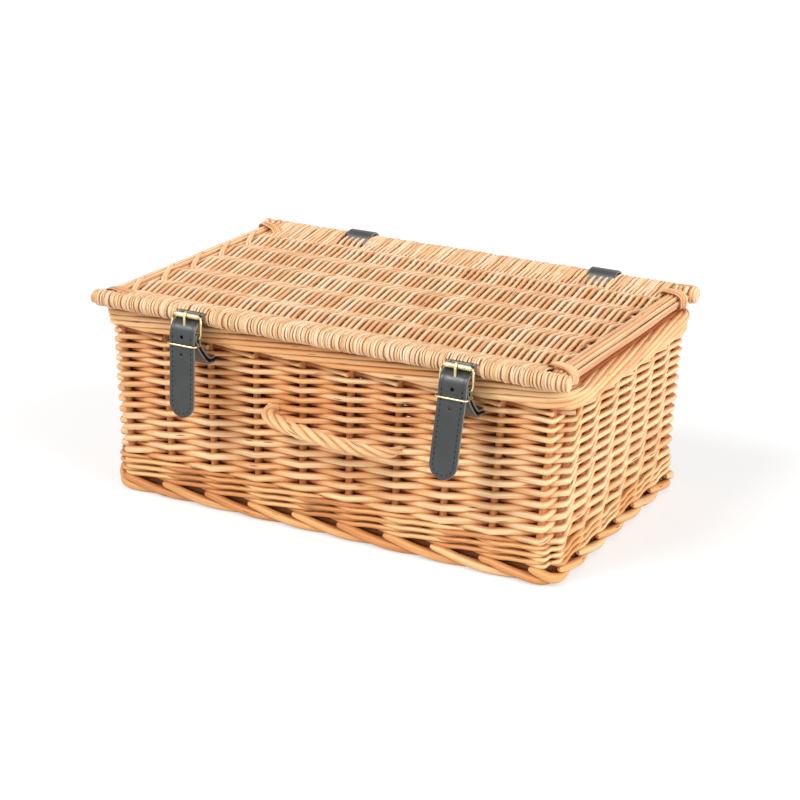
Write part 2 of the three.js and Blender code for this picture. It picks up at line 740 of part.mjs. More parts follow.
// Buckle strap: two plies from a peg inside the wall, round the heel bar and back
const pegEyeOuter = pegDiameter / 2 + runGap + buckleLeather;
const pegY = -(exitHalf.y - wallThickness) + fitGap + pegEyeOuter;
const peg = new THREE.Vector2(pegY, exitZ);
const buckleStrapRise = new THREE.SplineCurve([
  inFront(heelOut, heelZ),
  inFront(heelOut - upperRunIn, heelZ - upperRunDown),
  new THREE.Vector2(-exitHalf.y - exitBendDepth, exitZ + exitBendDepth / 4),
  new THREE.Vector2(-exitHalf.y - exitBendDepth / 3, exitZ),
]);

function buckleStrap() {
  const route = [...buckleStrapRise.getPoints(14), peg];
  const heel = inFront(heelOut, heelZ);
  const outer = [
    bandShape(route, buckleStrapThickness),
    discShape(heel, heelEyeOuter),
    discShape(peg, pegEyeOuter),
  ];
  const inner = [
    bandShape(route, buckleStrapSlit),
    discShape(heel, barRadius + runGap),
    discShape(peg, pegDiameter / 2 + runGap),
  ];
  const blank = joined(outer.map((shape) => extrudeAcross(shape, buckleStrapWidth)));
  const tools = inner.map((shape) => extrudeAcross(shape, 2 * buckleStrapWidth));
  const slotHalf = prongEyeWidth / 2 + fitGap;
  const slotFar = frontAxisY - heelOut - 2 * heelEyeOuter;
  const slotNear = frontAxisY - heelOut + 2 * heelEyeOuter;
  const slotLow = heelZ - heelEyeOuter - prongThickness;
  tools.push(boxBetween([-slotHalf, slotFar, slotLow], [slotHalf, slotNear, heelZ + 2 * heelEyeOuter]));
  return toGeometry(cut(blank, tools));
}

// Keeper: a wire loop held between the plies, round the front of the lid strap
function keeper(lean) {
  const rear = buckleStrapRise.getPointAt(keeperDown / buckleStrapRise.getLength());
  const frontOut = strapOutAt(rear.y, lean) + strapLeather / 2 + keeperSlack + keeperWire / 2;
  const length = frontOut - (frontAxisY - rear.x);
  const loop = wireRing(buckleInsideHalf, length, keeperWire, keeperBevel, 2 * keeperWire);
  return loop.rotateX(Math.PI).translate(0, rear.x, rear.y);
}

for (const [end, x] of Object.entries(closurePlaces)) {
  const closure = new THREE.Group();
  closure.position.x = x;
  hamper.add(closure);
  const lean = THREE.MathUtils.degToRad(strapLean[end]);
  addPiece(closure, `lid_strap_${end}`, lidStrap(lean), leather());
  addPiece(closure, `buckle_strap_${end}`, buckleStrap(), leather());
  const anchor = rodAlongX(pegDiameter / 2, pegLength, [0, pegY, exitZ]);
  addPiece(closure, `anchor_peg_${end}`, anchor, willow());
  addPiece(closure, `buckle_prong_${end}`, prong(), brass());
  addPiece(closure, `strap_keeper_${end}`, keeper(lean), brass());

  const buckle = new THREE.Group();
  buckle.position.set(0, frontAxisY - heelOut, heelZ);
  buckle.rotation.x = Math.PI / 2 - leanAngle;
  closure.add(buckle);
  const ring = wireRing(buckleInsideHalf, buckleLength, buckleWire, buckleBevel, buckleCorner);
  addPiece(buckle, `buckle_frame_${end}`, ring, brass());
  addPiece(buckle, `buckle_roller_${end}`, rollerTube(), brass()).position.y = buckleLength;
}

export default hamper;
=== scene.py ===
# %% [markdown]
# # A willow hamper, woven rod by rod
# The hamper is a basket of buff willow with a woven lid, two buckled leather straps, two leather
# hinge loops and a rope handle. Its solids come as a fixed frame that gives every place and size.
# A wicker wall could be a plain block with a bump pattern, but the light falls into the gaps between
# the rods, so here every rod is a real one that follows the weaver's own rule.

# %% Load the solids
import bisect
import json
import math
import random

import bmesh
import bpy
from mathutils import Matrix, Vector


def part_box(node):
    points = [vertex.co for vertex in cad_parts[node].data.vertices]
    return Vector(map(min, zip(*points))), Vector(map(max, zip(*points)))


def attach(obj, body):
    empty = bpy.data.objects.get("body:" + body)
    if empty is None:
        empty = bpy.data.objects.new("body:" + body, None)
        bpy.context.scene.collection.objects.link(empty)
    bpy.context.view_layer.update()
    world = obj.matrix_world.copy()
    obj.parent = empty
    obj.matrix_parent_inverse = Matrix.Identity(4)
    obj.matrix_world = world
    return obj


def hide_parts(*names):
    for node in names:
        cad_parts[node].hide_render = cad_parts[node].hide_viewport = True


MM = 0.001
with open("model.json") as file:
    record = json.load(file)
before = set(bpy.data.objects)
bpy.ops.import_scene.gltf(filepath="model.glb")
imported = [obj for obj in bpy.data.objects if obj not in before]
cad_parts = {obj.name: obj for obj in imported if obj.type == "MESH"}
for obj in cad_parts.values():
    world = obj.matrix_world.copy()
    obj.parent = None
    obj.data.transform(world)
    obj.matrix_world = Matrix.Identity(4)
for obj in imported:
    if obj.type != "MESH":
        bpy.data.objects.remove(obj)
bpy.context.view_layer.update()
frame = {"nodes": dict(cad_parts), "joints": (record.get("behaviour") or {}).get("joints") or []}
joint_place = {joint["name"]: Vector(joint["pos_m"]) for joint in frame["joints"]}

# %% [markdown]
# ## Camera
# The camera comes first, because every later look is judged from it. It stands to the right of the
# front and above the lid. Its place was worked out from the corners of the basket in the photograph,
# and the small shift puts the picture's middle where the photograph has it.

# %% Camera
image_size = 800
focal_pixels = 2020.8
view_turn = math.radians(28.41)
view_rise = math.radians(19.66)
view_roll = math.radians(0.84)
view_distance = 1.8459
view_target = Vector((-0.0018, 0, 0.090))
picture_middle = (395.4, 392.22)


def show(name, data):
    """A new object for a mesh, lamp or camera, linked to the scene."""
    made = bpy.data.objects.new(name, data)
    bpy.context.scene.collection.objects.link(made)
    return made


lens = bpy.data.cameras.new("photo_camera")
lens.sensor_width = 36
lens.lens = focal_pixels / image_size * lens.sensor_width
lens.shift_x = (image_size / 2 - picture_middle[0]) / image_size
lens.shift_y = (picture_middle[1] - image_size / 2) / image_size
camera = show("photo_camera", lens)
flat = math.cos(view_rise)
back = Vector((math.sin(view_turn) * flat, -math.cos(view_turn) * flat, math.sin(view_rise)))
right = Vector((math.cos(view_turn), math.sin(view_turn), 0))
turned = Matrix.Rotation(view_roll, 3, back) @ Matrix((right, back.cross(right), back)).transposed()
camera.matrix_world = Matrix.Translation(view_target + back * view_distance) @ turned.to_4x4()
bpy.context.scene.camera = camera
bpy.context.scene.view_settings.view_transform = "Standard"
print("camera at", [round(value, 3) for value in camera.matrix_world.translation])

# %% [markdown]
# ## Node helpers
# Materials, the world and the Geometry Nodes trees are all built from nodes. One helper adds a node,
# sets its options, and links or fills its inputs. The others are short ways to the nodes used most, and
# they work on the tree that is being built, which is always called tree.

# %% Node helpers
def put(tree, kind, inputs=None, **options):
    """Adds a node. An input given as a socket is linked, and anything else is its value."""
    made = tree.nodes.new(kind)
    for name, value in options.items():
        setattr(made, name, value)
    for key, value in (inputs or {}).items():
        if isinstance(value, bpy.types.NodeSocket):
            tree.links.new(value, made.inputs[key])
        else:
            made.inputs[key].default_value = value
    return made


def add(kind, inputs=None, **options):
    """Adds a node to the tree that is being built, and gives its first output."""
    return put(tree, kind, inputs, **options).outputs[0]


def calc(operation, *values, **options):
    """A sum, product or other calculation with numbers."""
    return add("ShaderNodeMath", dict(enumerate(values)), operation=operation, **options)


def vector_calc(operation, *values):
    """A calculation with vectors."""
    return add("ShaderNodeVectorMath", dict(enumerate(values)), operation=operation)


def mix(factor, first, second):
    """A mix of two colours."""
    return put(tree, "ShaderNodeMix", {0: factor, 6: first, 7: second}, data_type="RGBA").outputs[2]


def span(value, low, high, to_low=0.0, to_high=1.0):
    """A value stretched from one range to another, and clamped."""
    return add("ShaderNodeMapRange", {"Value": value, "From Min": low, "From Max": high,
                                      "To Min": to_low, "To Max": to_high})


def noise(place, scale, detail):
    """Soft noise at a place."""
    return add("ShaderNodeTexNoise", {"Vector": place, "Scale": scale, "Detail": detail})


def object_place():
    """The place of a point in its object."""
    return put(tree, "ShaderNodeTexCoord").outputs["Object"]


# %% Groups, materials and colours
def new_group(kind, name, inputs, outputs):
    """A node group with named sockets: the tree, the values given to it and its results."""
    made = bpy.data.node_groups.new(name, kind)
    for label, socket, value in inputs:
        entry = made.interface.new_socket(label, in_out="INPUT", socket_type=f"NodeSocket{socket}")
        if value is not None:
            entry.default_value = value
    for label, socket in outputs:
        made.interface.new_socket(label, in_out="OUTPUT", socket_type=f"NodeSocket{socket}")
    return made, made.nodes.new("NodeGroupInput").outputs, made.nodes.new("NodeGroupOutput").inputs


def deliver(**values):
    """Links values to the results of the group that is being built."""
    for label, value in values.items():
        tree.links.new(value, result[label])
    print(tree.name, "group with", len(tree.nodes), "nodes")


def new_material(name):
    """A material, its node tree and the inputs of its shader."""
    made = bpy.data.materials.new(name)
    made.use_nodes = True
    return made, made.node_tree, made.node_tree.nodes["Principled BSDF"].inputs


def linear(red, green, blue):
    """A screen colour, 0 to 255, as the linear colour that shaders use."""
    channels = [value / 255 for value in (red, green, blue)]
    return (*[v / 12.92 if v <= 0.04045 else ((v + 0.055) / 1.055) ** 2.4 for v in channels], 1)


# %% [markdown]
# ## Light and floor
# A product picture on white has a broad soft key light, a fill from the other side and a bright room.
# Lamps with a wide angle give soft shadows. The world is white where the camera or a reflection looks
# at it and dimmer as a light, so the background stays white without more light on the basket. The
# floor is lifted towards white in the same way, but not under the basket, where paper lies in shade.

# %% Light
white = (1, 1, 1, 1)
room_light = 0.5
scene_world = bpy.data.worlds.new("white_room")
bpy.context.scene.world = scene_world
scene_world.use_nodes = True
tree = scene_world.node_tree
tree.nodes.clear()
ray = put(tree, "ShaderNodeLightPath").outputs
seen = calc("MAXIMUM", ray["Is Camera Ray"], ray["Is Glossy Ray"])
seen = calc("MAXIMUM", seen, ray["Is Transmission Ray"])
sky = add("ShaderNodeBackground", {"Color": white, "Strength": span(seen, 0, 1, room_light, 1)})
put(tree, "ShaderNodeOutputWorld", {"Surface": sky})

lamps = {
    "key_lamp": {"turn": -34, "rise": 46, "strength": 2.0, "angle": 26},
    "side_lamp": {"turn": 86, "rise": 24, "strength": 2.3, "angle": 50},
}
for name, set_up in lamps.items():
    lamp = bpy.data.lights.new(name, "SUN")
    lamp.energy = set_up["strength"]
    lamp.angle = math.radians(set_up["angle"])
    stand = show(name, lamp)
    stand.rotation_euler = (math.radians(90 - set_up["rise"]), 0, math.radians(set_up["turn"]))
print("lamps", list(lamps))

# %% Floor
floor_half = 9.0
paper_grey = (0.86, 0.86, 0.86, 1)
paper_lift = 0.62
shaded_half = (0.21, 0.125)
floor_mesh = bpy.data.meshes.new("floor")
floor_corners = [(-floor_half, -floor_half, 0), (floor_half, -floor_half, 0),
                 (floor_half, floor_half, 0), (-floor_half, floor_half, 0)]
floor_mesh.from_pydata(floor_corners, [], [(0, 1, 2, 3)])
floor = show("floor", floor_mesh)
paper, tree = new_material("white_paper")[:2]
tree.nodes.clear()
ray = put(tree, "ShaderNodeLightPath").outputs
matte = add("ShaderNodeBsdfDiffuse", {"Color": paper_grey})
bright = add("ShaderNodeBsdfDiffuse", {"Color": white})
glow = add("ShaderNodeEmission", {"Color": white, "Strength": 1})
spot = put(tree, "ShaderNodeSeparateXYZ", {0: object_place()}).outputs
beside = [calc("ABSOLUTE", calc("DIVIDE", spot[axis], half)) for axis, half in enumerate(shaded_half)]
lift = span(calc("MAXIMUM", *beside), 0.85, 1.05, 0, paper_lift)
lifted = add("ShaderNodeMixShader", {0: lift, 1: bright, 2: glow})
shown = add("ShaderNodeMixShader", {0: ray["Is Camera Ray"], 1: matte, 2: lifted})
put(tree, "ShaderNodeOutputMaterial", {"Surface": shown})
floor_mesh.materials.append(paper)
print("floor", 2 * floor_half, "m wide")

# %% [markdown]
# ## Willow
# Buff willow is boiled before it is peeled, which stains it honey to orange. Every rod has its own
# tone, long streaks and fine fibres run along it, and small scars stay where buds were. Shade is
# painted into the colour where rods lie against each other: above and below in a wall, and on both
# sides in the lid. The wall's rods also get a dark painted shade in the depth of the weave, but not on
# the side that looks into the basket. The streaks must follow each rod round its bends, so the pattern
# reads attributes that the rod sweep leaves on the mesh: a tone that can change along a rod, below zero
# where shade is painted in the depth of the weave, and a coordinate that runs round the rod and along it.

# %% Willow grain group
grain_results = [("Color", "Color"), ("Roughness", "Float"), ("Height", "Float")]
scar_brown = linear(112, 60, 28)
# The streak colour also paints the shade where rods touch their neighbours.
willow_grain, given, result = new_group(
    "ShaderNodeTree", "willow_grain",
    [("Painted depth shade", "Color", linear(88, 36, 8)), ("Russet", "Color", linear(216, 146, 88)),
     ("Honey", "Color", linear(238, 184, 122)), ("Pale", "Color", linear(251, 219, 168)),
     ("Stain", "Color", linear(180, 96, 42)), ("Streak", "Float", 0.45), ("Touch across", "Float", 0.0),
     ("Touch up", "Float", 0.8), ("Clear inside", "Float", 0.0)],
    grain_results)
tree = willow_grain
tone = put(tree, "ShaderNodeAttribute", attribute_name="rod_tone").outputs["Fac"]
grain = put(tree, "ShaderNodeAttribute", attribute_name="rod_grain").outputs["Vector"]


def along_rod(around, along):
    """The rod's own coordinate, scaled round it and along it."""
    return vector_calc("MULTIPLY", grain, (around, around, along))


streak = noise(along_rod(1.1, 16), 1.0, 4.0)
fibre = noise(along_rod(6.0, 34), 1.0, 3.0)
scar = span(add("ShaderNodeTexVoronoi", {"Vector": along_rod(0.8, 24), "Scale": 1.0}), 0.16, 0.07)
body = mix(span(tone, 0.05, 0.5), given["Russet"], given["Honey"])
body = mix(span(tone, 0.5, 0.95), body, given["Pale"])
body = mix(calc("MULTIPLY", span(streak, 0.42, 0.72), given["Streak"]), body, given["Stain"])
body = mix(span(streak, 0.42, 0.25, 0.0, 0.35), body, given["Pale"])
body = mix(span(fibre, 0.3, 0.7, 0.0, 0.2), body, given["Stain"])
sides = put(tree, "ShaderNodeSeparateXYZ", {0: grain}).outputs
# A tone below zero mixes in a dark painted shade for the depth of the weave, which stays off the side that
# looks into the basket.
inner = calc("MULTIPLY", span(sides[0], 0.2, -0.5), given["Clear inside"])
depth = calc("SUBTRACT", span(tone, 0.0, -0.6), inner, use_clamp=True)
body = mix(depth, body, given["Painted depth shade"])
# The sides that face across or up and down, where rods touch their neighbours, get painted shade in the
# streak colour.
touches = [calc("MULTIPLY", span(calc("ABSOLUTE", sides[axis]), 0.5, 1.0), given[label])
           for axis, label in enumerate(("Touch across", "Touch up"))]
body = mix(calc("MAXIMUM", *touches), body, given["Stain"])
deliver(Color=mix(scar, body, scar_brown), Roughness=span(fibre, 0.25, 0.75, 0.36, 0.56),
        Height=calc("SUBTRACT", fibre, scar))


# %% Willow materials
def grained_finish(name, grain_group, bump_strength, bump_depth, specular, **values):
    """A material that takes colour, roughness and bump from a grain group with its own values."""
    made, nodes, shader = new_material(name)
    group = put(nodes, "ShaderNodeGroup", node_tree=grain_group)
    for label, value in values.items():
        group.inputs[label.replace("_", " ")].default_value = value
    bump = put(nodes, "ShaderNodeBump", {"Height": group.outputs["Height"], "Strength": bump_strength,
                                         "Distance": bump_depth})
    nodes.links.new(group.outputs["Color"], shader["Base Color"])
    nodes.links.new(group.outputs["Roughness"], shader["Roughness"])
    nodes.links.new(bump.outputs[0], shader["Normal"])
    shader["Specular IOR Level"].default_value = specular
    print("finish", name)
    return made


def willow_finish(name, **values):
    """A willow material with its own colours and stain."""
    return grained_finish(name, willow_grain, 0.25, 0.4 * MM, 0.4, **values)


# Each finish's touch values set how much shade is painted where its rods touch their neighbours.
wall_willow = willow_finish("wall_willow", Clear_inside=1.0)
lid_willow = willow_finish("lid_willow", Russet=linear(222, 174, 122), Honey=linear(238, 202, 154),
                           Pale=linear(248, 223, 187), Streak=0.22, Touch_across=0.5, Touch_up=0.0)
edge_willow = willow_finish("edge_willow", Russet=linear(212, 143, 82), Honey=linear(240, 185, 119),
                            Pale=linear(252, 216, 160), Stain=linear(170, 98, 46), Touch_up=0.7)
rim_willow = willow_finish("rim_willow", Russet=linear(214, 138, 78), Honey=linear(242, 180, 114),
                           Pale=linear(252, 212, 156), Streak=0.5)
frame_willow = willow_finish("frame_willow", Russet=linear(224, 168, 112), Honey=linear(240, 200, 148),
                             Pale=linear(250, 221, 178), Streak=0.4, Touch_across=0.55, Touch_up=0.0)
rope_willow = willow_finish("rope_willow", Russet=linear(216, 156, 100), Honey=linear(238, 192, 136),
                            Pale=linear(250, 217, 168), Streak=0.4, Touch_up=0.0)

# %% [markdown]
# ## Rod sweep
# Every willow piece is a bundle of rods, and a rod is a round section drawn along a path. A curve
# object with a bevel would do, but its thickness and grain are hard to control. Here the paths are
# plain lines of points with a radius and a tone, and one Geometry Nodes tree rounds the bends, sweeps
# the section along them and stores the coordinates that the willow grain reads. Rods that lie level can
# keep their section upright, so that the painted shade knows which side touches a neighbour. Faces
# with more than four corners are the cut ends, and they are shaded flat.

# %% Steps of a sweep
def named(name, kind="FLOAT"):
    """A named attribute as a field."""
    return add("GeometryNodeInputNamedAttribute", {"Name": name}, data_type=kind)


def store(geometry, name, value, kind="FLOAT"):
    """Keeps a field on the points under a name."""
    return add("GeometryNodeStoreNamedAttribute", {"Geometry": geometry, "Name": name, "Value": value},
               data_type=kind, domain="POINT")


def sweep(line, radius, flatness=1.0):
    """Draws a round or flat section along a line, and keeps each point's side of the section."""
    along = put(tree, "GeometryNodeSplineParameter").outputs["Length"]
    line = store(line, "rod_along", along)
    ring = add("GeometryNodeCurvePrimitiveCircle", {"Resolution": given["Sides"], "Radius": 1.0})
    squeeze = add("ShaderNodeCombineXYZ", {"X": 1.0, "Y": flatness, "Z": 1.0})
    ring = add("GeometryNodeTransform", {"Geometry": ring, "Scale": squeeze})
    ring = store(ring, "rod_side", add("GeometryNodeInputPosition"), "FLOAT_VECTOR")
    return add("GeometryNodeCurveToMesh",
               {"Curve": line, "Profile Curve": ring, "Scale": radius, "Fill Caps": True})


def keep_grain(swept, start):
    """Stores the coordinate round and along a rod, which begins at its own start, and smooths it."""
    side = put(tree, "ShaderNodeSeparateXYZ", {0: named("rod_side", "FLOAT_VECTOR")}).outputs
    along = calc("ADD", start, named("rod_along"))
    joined = add("ShaderNodeCombineXYZ", {"X": side[0], "Y": side[1], "Z": along})
    swept = store(swept, "rod_grain", joined, "FLOAT_VECTOR")
    return add("GeometryNodeSetShadeSmooth", {"Geometry": swept})


def dress(geometry):
    """Ends a tree with real geometry that has its material."""
    geometry = add("GeometryNodeRealizeInstances", {"Geometry": geometry})
    geometry = add("GeometryNodeSetMaterial", {"Geometry": geometry, "Material": given["Finish"]})
    tree.links.new(geometry, result["Shape"])
    print(tree.name, "tree with", len(tree.nodes), "nodes")


# %% Rod sweep tree
shape_result = [("Shape", "Geometry")]
rod_sweep, given, result = new_group(
    "GeometryNodeTree", "rod_sweep",
    [("Paths", "Geometry", None), ("Sides", "Int", 8), ("Bend steps", "Int", 4), ("Flatness", "Float", 1.0),
     ("Upright", "Bool", False), ("Finish", "Material", None)],
    shape_result)
tree = rod_sweep
line = add("GeometryNodeMeshToCurve", {"Mesh": given["Paths"]})
line = add("GeometryNodeCurveSplineType", {"Curve": line}, spline_type="CATMULL_ROM")
line = add("GeometryNodeSetSplineResolution", {"Geometry": line, "Resolution": given["Bend steps"]})
level = add("GeometryNodeSetCurveNormal", {"Curve": line}, mode="Z_UP")
line = add("GeometryNodeSwitch", {"Switch": given["Upright"], "False": line, "True": level},
           input_type="GEOMETRY")
swept = keep_grain(sweep(line, named("rod_radius"), given["Flatness"]), named("rod_start"))
corners = put(tree, "GeometryNodeInputMeshFaceNeighbors").outputs["Vertex Count"]
cut_end = calc("GREATER_THAN", corners, 4.5)
dress(add("GeometryNodeSetShadeSmooth", {"Geometry": swept, "Selection": cut_end, "Shade Smooth": False}))


# %% Growing a piece
def grow(name, guide, nodes, **inputs):
    """Runs a Geometry Nodes tree on a guide mesh and keeps the result as a plain mesh object."""
    made = show(name, guide)
    modifier = made.modifiers.new(nodes.name, "NODES")
    modifier.node_group = nodes
    sockets = {item.name: item.identifier for item in nodes.interface.items_tree if item.in_out == "INPUT"}
    for label, value in inputs.items():
        modifier[sockets[label.replace("_", " ")]] = value
    made.update_tag()
    shaped = made.evaluated_get(bpy.context.evaluated_depsgraph_get())
    mesh = bpy.data.meshes.new_from_object(shaped)
    made.modifiers.clear()
    made.data = mesh
    bpy.data.meshes.remove(guide)
    print(name, sum(len(face.vertices) - 2 for face in mesh.polygons), "triangles")
    return made


# %% Rods as paths
def guide_lines(name, rods):
    """A mesh of open lines. A rod is (points, radii, tones) in metres, or has one tone for all points."""
    points = []
    edges = []
    radii = []
    tones = []
    starts = []
    start_step = 0.37
    for path, widths, shade in rods:
        first = len(points)
        points.extend(path)
        edges.extend((first + step, first + step + 1) for step in range(len(path) - 1))
        radii.extend(widths)
        starts.extend([first * start_step] * len(path))
        tones.extend(shade if isinstance(shade, list) else [shade] * len(path))
    mesh = bpy.data.meshes.new(name)
    mesh.from_pydata(points, edges, [])
    for label, values in (("rod_radius", radii), ("rod_tone", tones), ("rod_start", starts)):
        mesh.attributes.new(label, "FLOAT", "POINT").data.foreach_set("value", values)
    return mesh


def rods_piece(name, rods, finish, sides=8, bend_steps=4, flatness=1.0, upright=False):
    """A piece made of swept rods."""
    return grow(name, guide_lines(name, rods), rod_sweep, Sides=sides, Bend_steps=bend_steps,
                Flatness=flatness, Upright=upright, Finish=finish)


def settle(piece, body, slot, *nodes):
    """Puts a finished piece on its body and hides the solids that it stands for."""
    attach(piece, body)
    if nodes:
        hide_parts(*nodes)


# %% [markdown]
# ## Stakes
# The wall hangs on upright stakes. Their places set the rhythm of the whole weave, so they come
# before it. Ten stand along the front and the rear and seven along each end, with the corner ones on
# either side of a short flat. A place round the wall is a number: 0 is the front left stake, whole
# numbers are stakes, and halves are the middle between two.

# %% Wall shape
wall_out = {"front": Vector((0, -1, 0)), "right": Vector((1, 0, 0)),
            "rear": Vector((0, 1, 0)), "left": Vector((-1, 0, 0))}
wall_along = {side: Vector((-out.y, out.x, 0)) for side, out in wall_out.items()}
siding_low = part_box("siding_front")[0].z
siding_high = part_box("siding_front")[1].z


def face_reach(node, axis, level):
    """How far a wall's outer face stands from the middle at a level that has corners."""
    corners = frame["nodes"][node].data.vertices
    return max(abs(corner.co[axis]) for corner in corners if abs(corner.co.z - level) < 0.5 * MM)


end_low = face_reach("siding_right", 0, siding_low)
end_high = face_reach("siding_right", 0, siding_high)
face_low = face_reach("siding_front", 1, siding_low)
face_high = face_reach("siding_front", 1, siding_high)
corner_cut = end_high - face_reach("siding_front", 0, siding_high)


def wall_half(level):
    """Half the wall's length and depth over its outer faces at a level."""
    share = (level - siding_low) / (siding_high - siding_low)
    return (end_low + (end_high - end_low) * share, face_low + (face_high - face_low) * share)


print("corner flat", round(corner_cut / MM, 1), "mm")
print("half the wall", [round(value / MM, 1) for value in wall_half(siding_high)], "mm")

# %% Places round the wall
stakes_on = {"front": 10, "right": 7, "rear": 10, "left": 7}
stake_places = [(side, 2 * step / (count - 1) - 1)
                for side, count in stakes_on.items() for step in range(count)]
stake_count = len(stake_places)
corner_turn = math.pi / 8


def stake_base(number, level):
    """Point on the outer face in front of a stake, and the direction out of the wall there."""
    side, share = stake_places[number % stake_count]
    length, depth = wall_half(level)
    reach, run = (depth, length) if side in ("front", "rear") else (length, depth)
    point = wall_out[side] * reach + wall_along[side] * (share * (run - corner_cut))
    tilt = corner_turn * share if abs(share) == 1 else 0
    return point, wall_out[side] * math.cos(tilt) + wall_along[side] * math.sin(tilt)


def wall_point(place, level, out):
    """A point at a place round the wall, at a level, that far outside the wall's face."""
    number = math.floor(place)
    share = place - number
    here, out_here = stake_base(number, level)
    there, out_there = stake_base(number + 1, level)
    outwards = out_here.lerp(out_there, share).normalized()
    point = here.lerp(there, share) + outwards * out
    return Vector((point.x, point.y, level))


def painted_light(place):
    """Painted light: extra, paler tone on the right end and the front next to it, where light falls
    strongest.
    """
    side, share = stake_places[math.floor(place) % stake_count]
    if side == "front":
        return 0.2 * max(share, 0)
    return 0.3 if side == "right" else 0.0


print("stakes", stake_count)

# %% Stakes
stake_depth = 6.0 * MM
stake_radius = 3.6 * MM
stake_levels = (4 * MM, 50 * MM, 100 * MM, siding_high + 4 * MM)
stake_taper = (1.05, 1.0, 1.0, 0.95)
chance = random.Random(11)
stake_rods = []
for number in range(stake_count):
    path = [wall_point(number, level, -stake_depth) for level in stake_levels]
    # A stake's tone can fall below zero, which paints shade on it deep in the weave.
    stake_rods.append((path, [stake_radius * share for share in stake_taper], chance.uniform(-0.3, 0.1)))
stakes = rods_piece("stakes", stake_rods, edge_willow, sides=8, bend_steps=2)
settle(stakes, "basket", "willow", "corner_post_front_left", "corner_post_front_right",
       "corner_post_rear_left", "corner_post_rear_right")

# %% [markdown]
# ## Siding
# The siding is French randing. One rod starts behind every stake, and each goes in front of one
# stake and behind the next, so the whole wall rises together. At stake number i of its run a rod is at
# level i / 2, in front where i is even. Two rods meet between the stakes and close the wall, and at
# each stake there is a small dark window. A rod is thick at its butt and thin at its tip, so the
# courses get finer towards the top. The rear and left walls are woven a little tighter.

# %% Courses of the siding
low_pitch = 11.3 * MM
high_pitch = 8.0 * MM
rod_share = 0.305
climb_height = siding_high - siding_low - rod_share * (low_pitch + high_pitch)
climb_levels = 2 * climb_height / (low_pitch + high_pitch)


def pitch_at(level):
    """Distance between courses at a level of the weave."""
    return low_pitch + (high_pitch - low_pitch) * min(max(level / climb_levels, 0), 1)


def weave_height(level):
    """Height of a rod's middle at a level of the weave."""
    first = siding_low + rod_share * low_pitch
    return first + (low_pitch + pitch_at(level)) / 2 * level


print("courses", round(climb_levels, 1))

# %% Siding
weave_depth = 4.5 * MM
tight_weave = 1.18
depth_shade = 1.1
chance = random.Random(23)
siding_rods = []
for start in range(stake_count):
    path = []
    radii = []
    tones = []
    own_tone = chance.uniform(0.45, 1.0)
    thickness = chance.uniform(0.93, 1.05)
    steps = int(2 * climb_levels) + 1
    for step in range(-1, steps + 1):
        in_front = 1 if step % 2 == 0 else -1
        level = min(step / 2, climb_levels)
        height = weave_height(level) + chance.uniform(-0.5, 0.5) * MM
        tighter = tight_weave if stake_places[(start + step) % stake_count][0] in ("rear", "left") else 1.0
        radius = rod_share * pitch_at(level) * thickness * tighter
        out = in_front * (weave_depth + chance.uniform(-0.4, 0.4) * MM)
        for share in (0, 0.2, 0.5, 0.8) if step < steps else (0,):
            middle = height if share == 0 else weave_height(min((step + share) / 2, climb_levels))
            swing = in_front * (1 - 2 * share)
            path.append(wall_point(start + step + share, middle, abs(out) * swing - stake_depth))
            radii.append(radius)
            # The tone takes the painted light of the right end, and behind the stakes it falls below zero,
            # which paints shade in the depth of the weave.
            tones.append(own_tone + painted_light(start + step + share) + min(swing - 0.25, 0) * depth_shade)
    siding_rods.append((path, radii, tones))
siding = rods_piece("siding_weave", siding_rods, wall_willow, sides=8, bend_steps=2, upright=True)
settle(siding, "basket", "willow", "siding_front", "siding_rear", "siding_left", "siding_right")

# %% [markdown]
# ## Wale
# Below the siding a wale locks the stakes. Three rods travel together, each in front of two stakes
# and behind one, and three such rows lie above each other. A long float rises to the right over its two
# stakes and then dives behind the third.

# %% Wale
wale_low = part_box("wale_front")[0].z
wale_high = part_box("wale_front")[1].z
wale_rows = 3
wale_row = (wale_high - wale_low) / wale_rows
wale_radius = 2.1 * MM
wale_front = 6.0 * MM
wale_behind = -4.4 * MM
wale_start = 20
wale_rise = (0.22, 0.8, 0.5)
wale_tones = (-0.05, 0.25, 0.65)
# How strongly the wale takes the painted light of the right end.
wale_painted_light = 1.3
chance = random.Random(5)
wale_rods = []
for row in range(wale_rows):
    base = wale_low + row * wale_row
    for rod in range(3):
        path = []
        radii = []
        tones = []
        for step in range(stake_count + 2):
            turn = step % 3
            place = wale_start + rod + row + step
            level = base + (wale_rise[turn] * wale_row + chance.uniform(-0.3, 0.3) * MM)
            out = wale_behind if turn == 2 else wale_front
            path.append(wall_point(place, level, out - stake_depth))
            radii.append(wale_radius * chance.uniform(0.96, 1.04))
            tones.append(wale_tones[(rod + row) % 3] + wale_painted_light * painted_light(place))
            if turn == 0:
                path.append(wall_point(place + 0.5, base + 0.5 * wale_row, wale_front - stake_depth))
                radii.append(wale_radius)
                tones.append(tones[-1])
        wale_rods.append((path, radii, tones))
wale = rods_piece("wale_rods", wale_rods, edge_willow, sides=10, bend_steps=6, upright=True)
settle(wale, "basket", "willow", "wale_front", "wale_rear", "wale_left", "wale_right")

# %% [markdown]
# ## Foot border
# The base stakes come out under the wale, turn to the right and sweep down to the floor, each one
# over the tail of the one before it. Together they look like a thick rope laid round the foot. The
# path of one is given by its place, level, distance outside the wall and thickness, and repeated at
# every stake. Two plain rods behind them run right round and close the base to the wall.

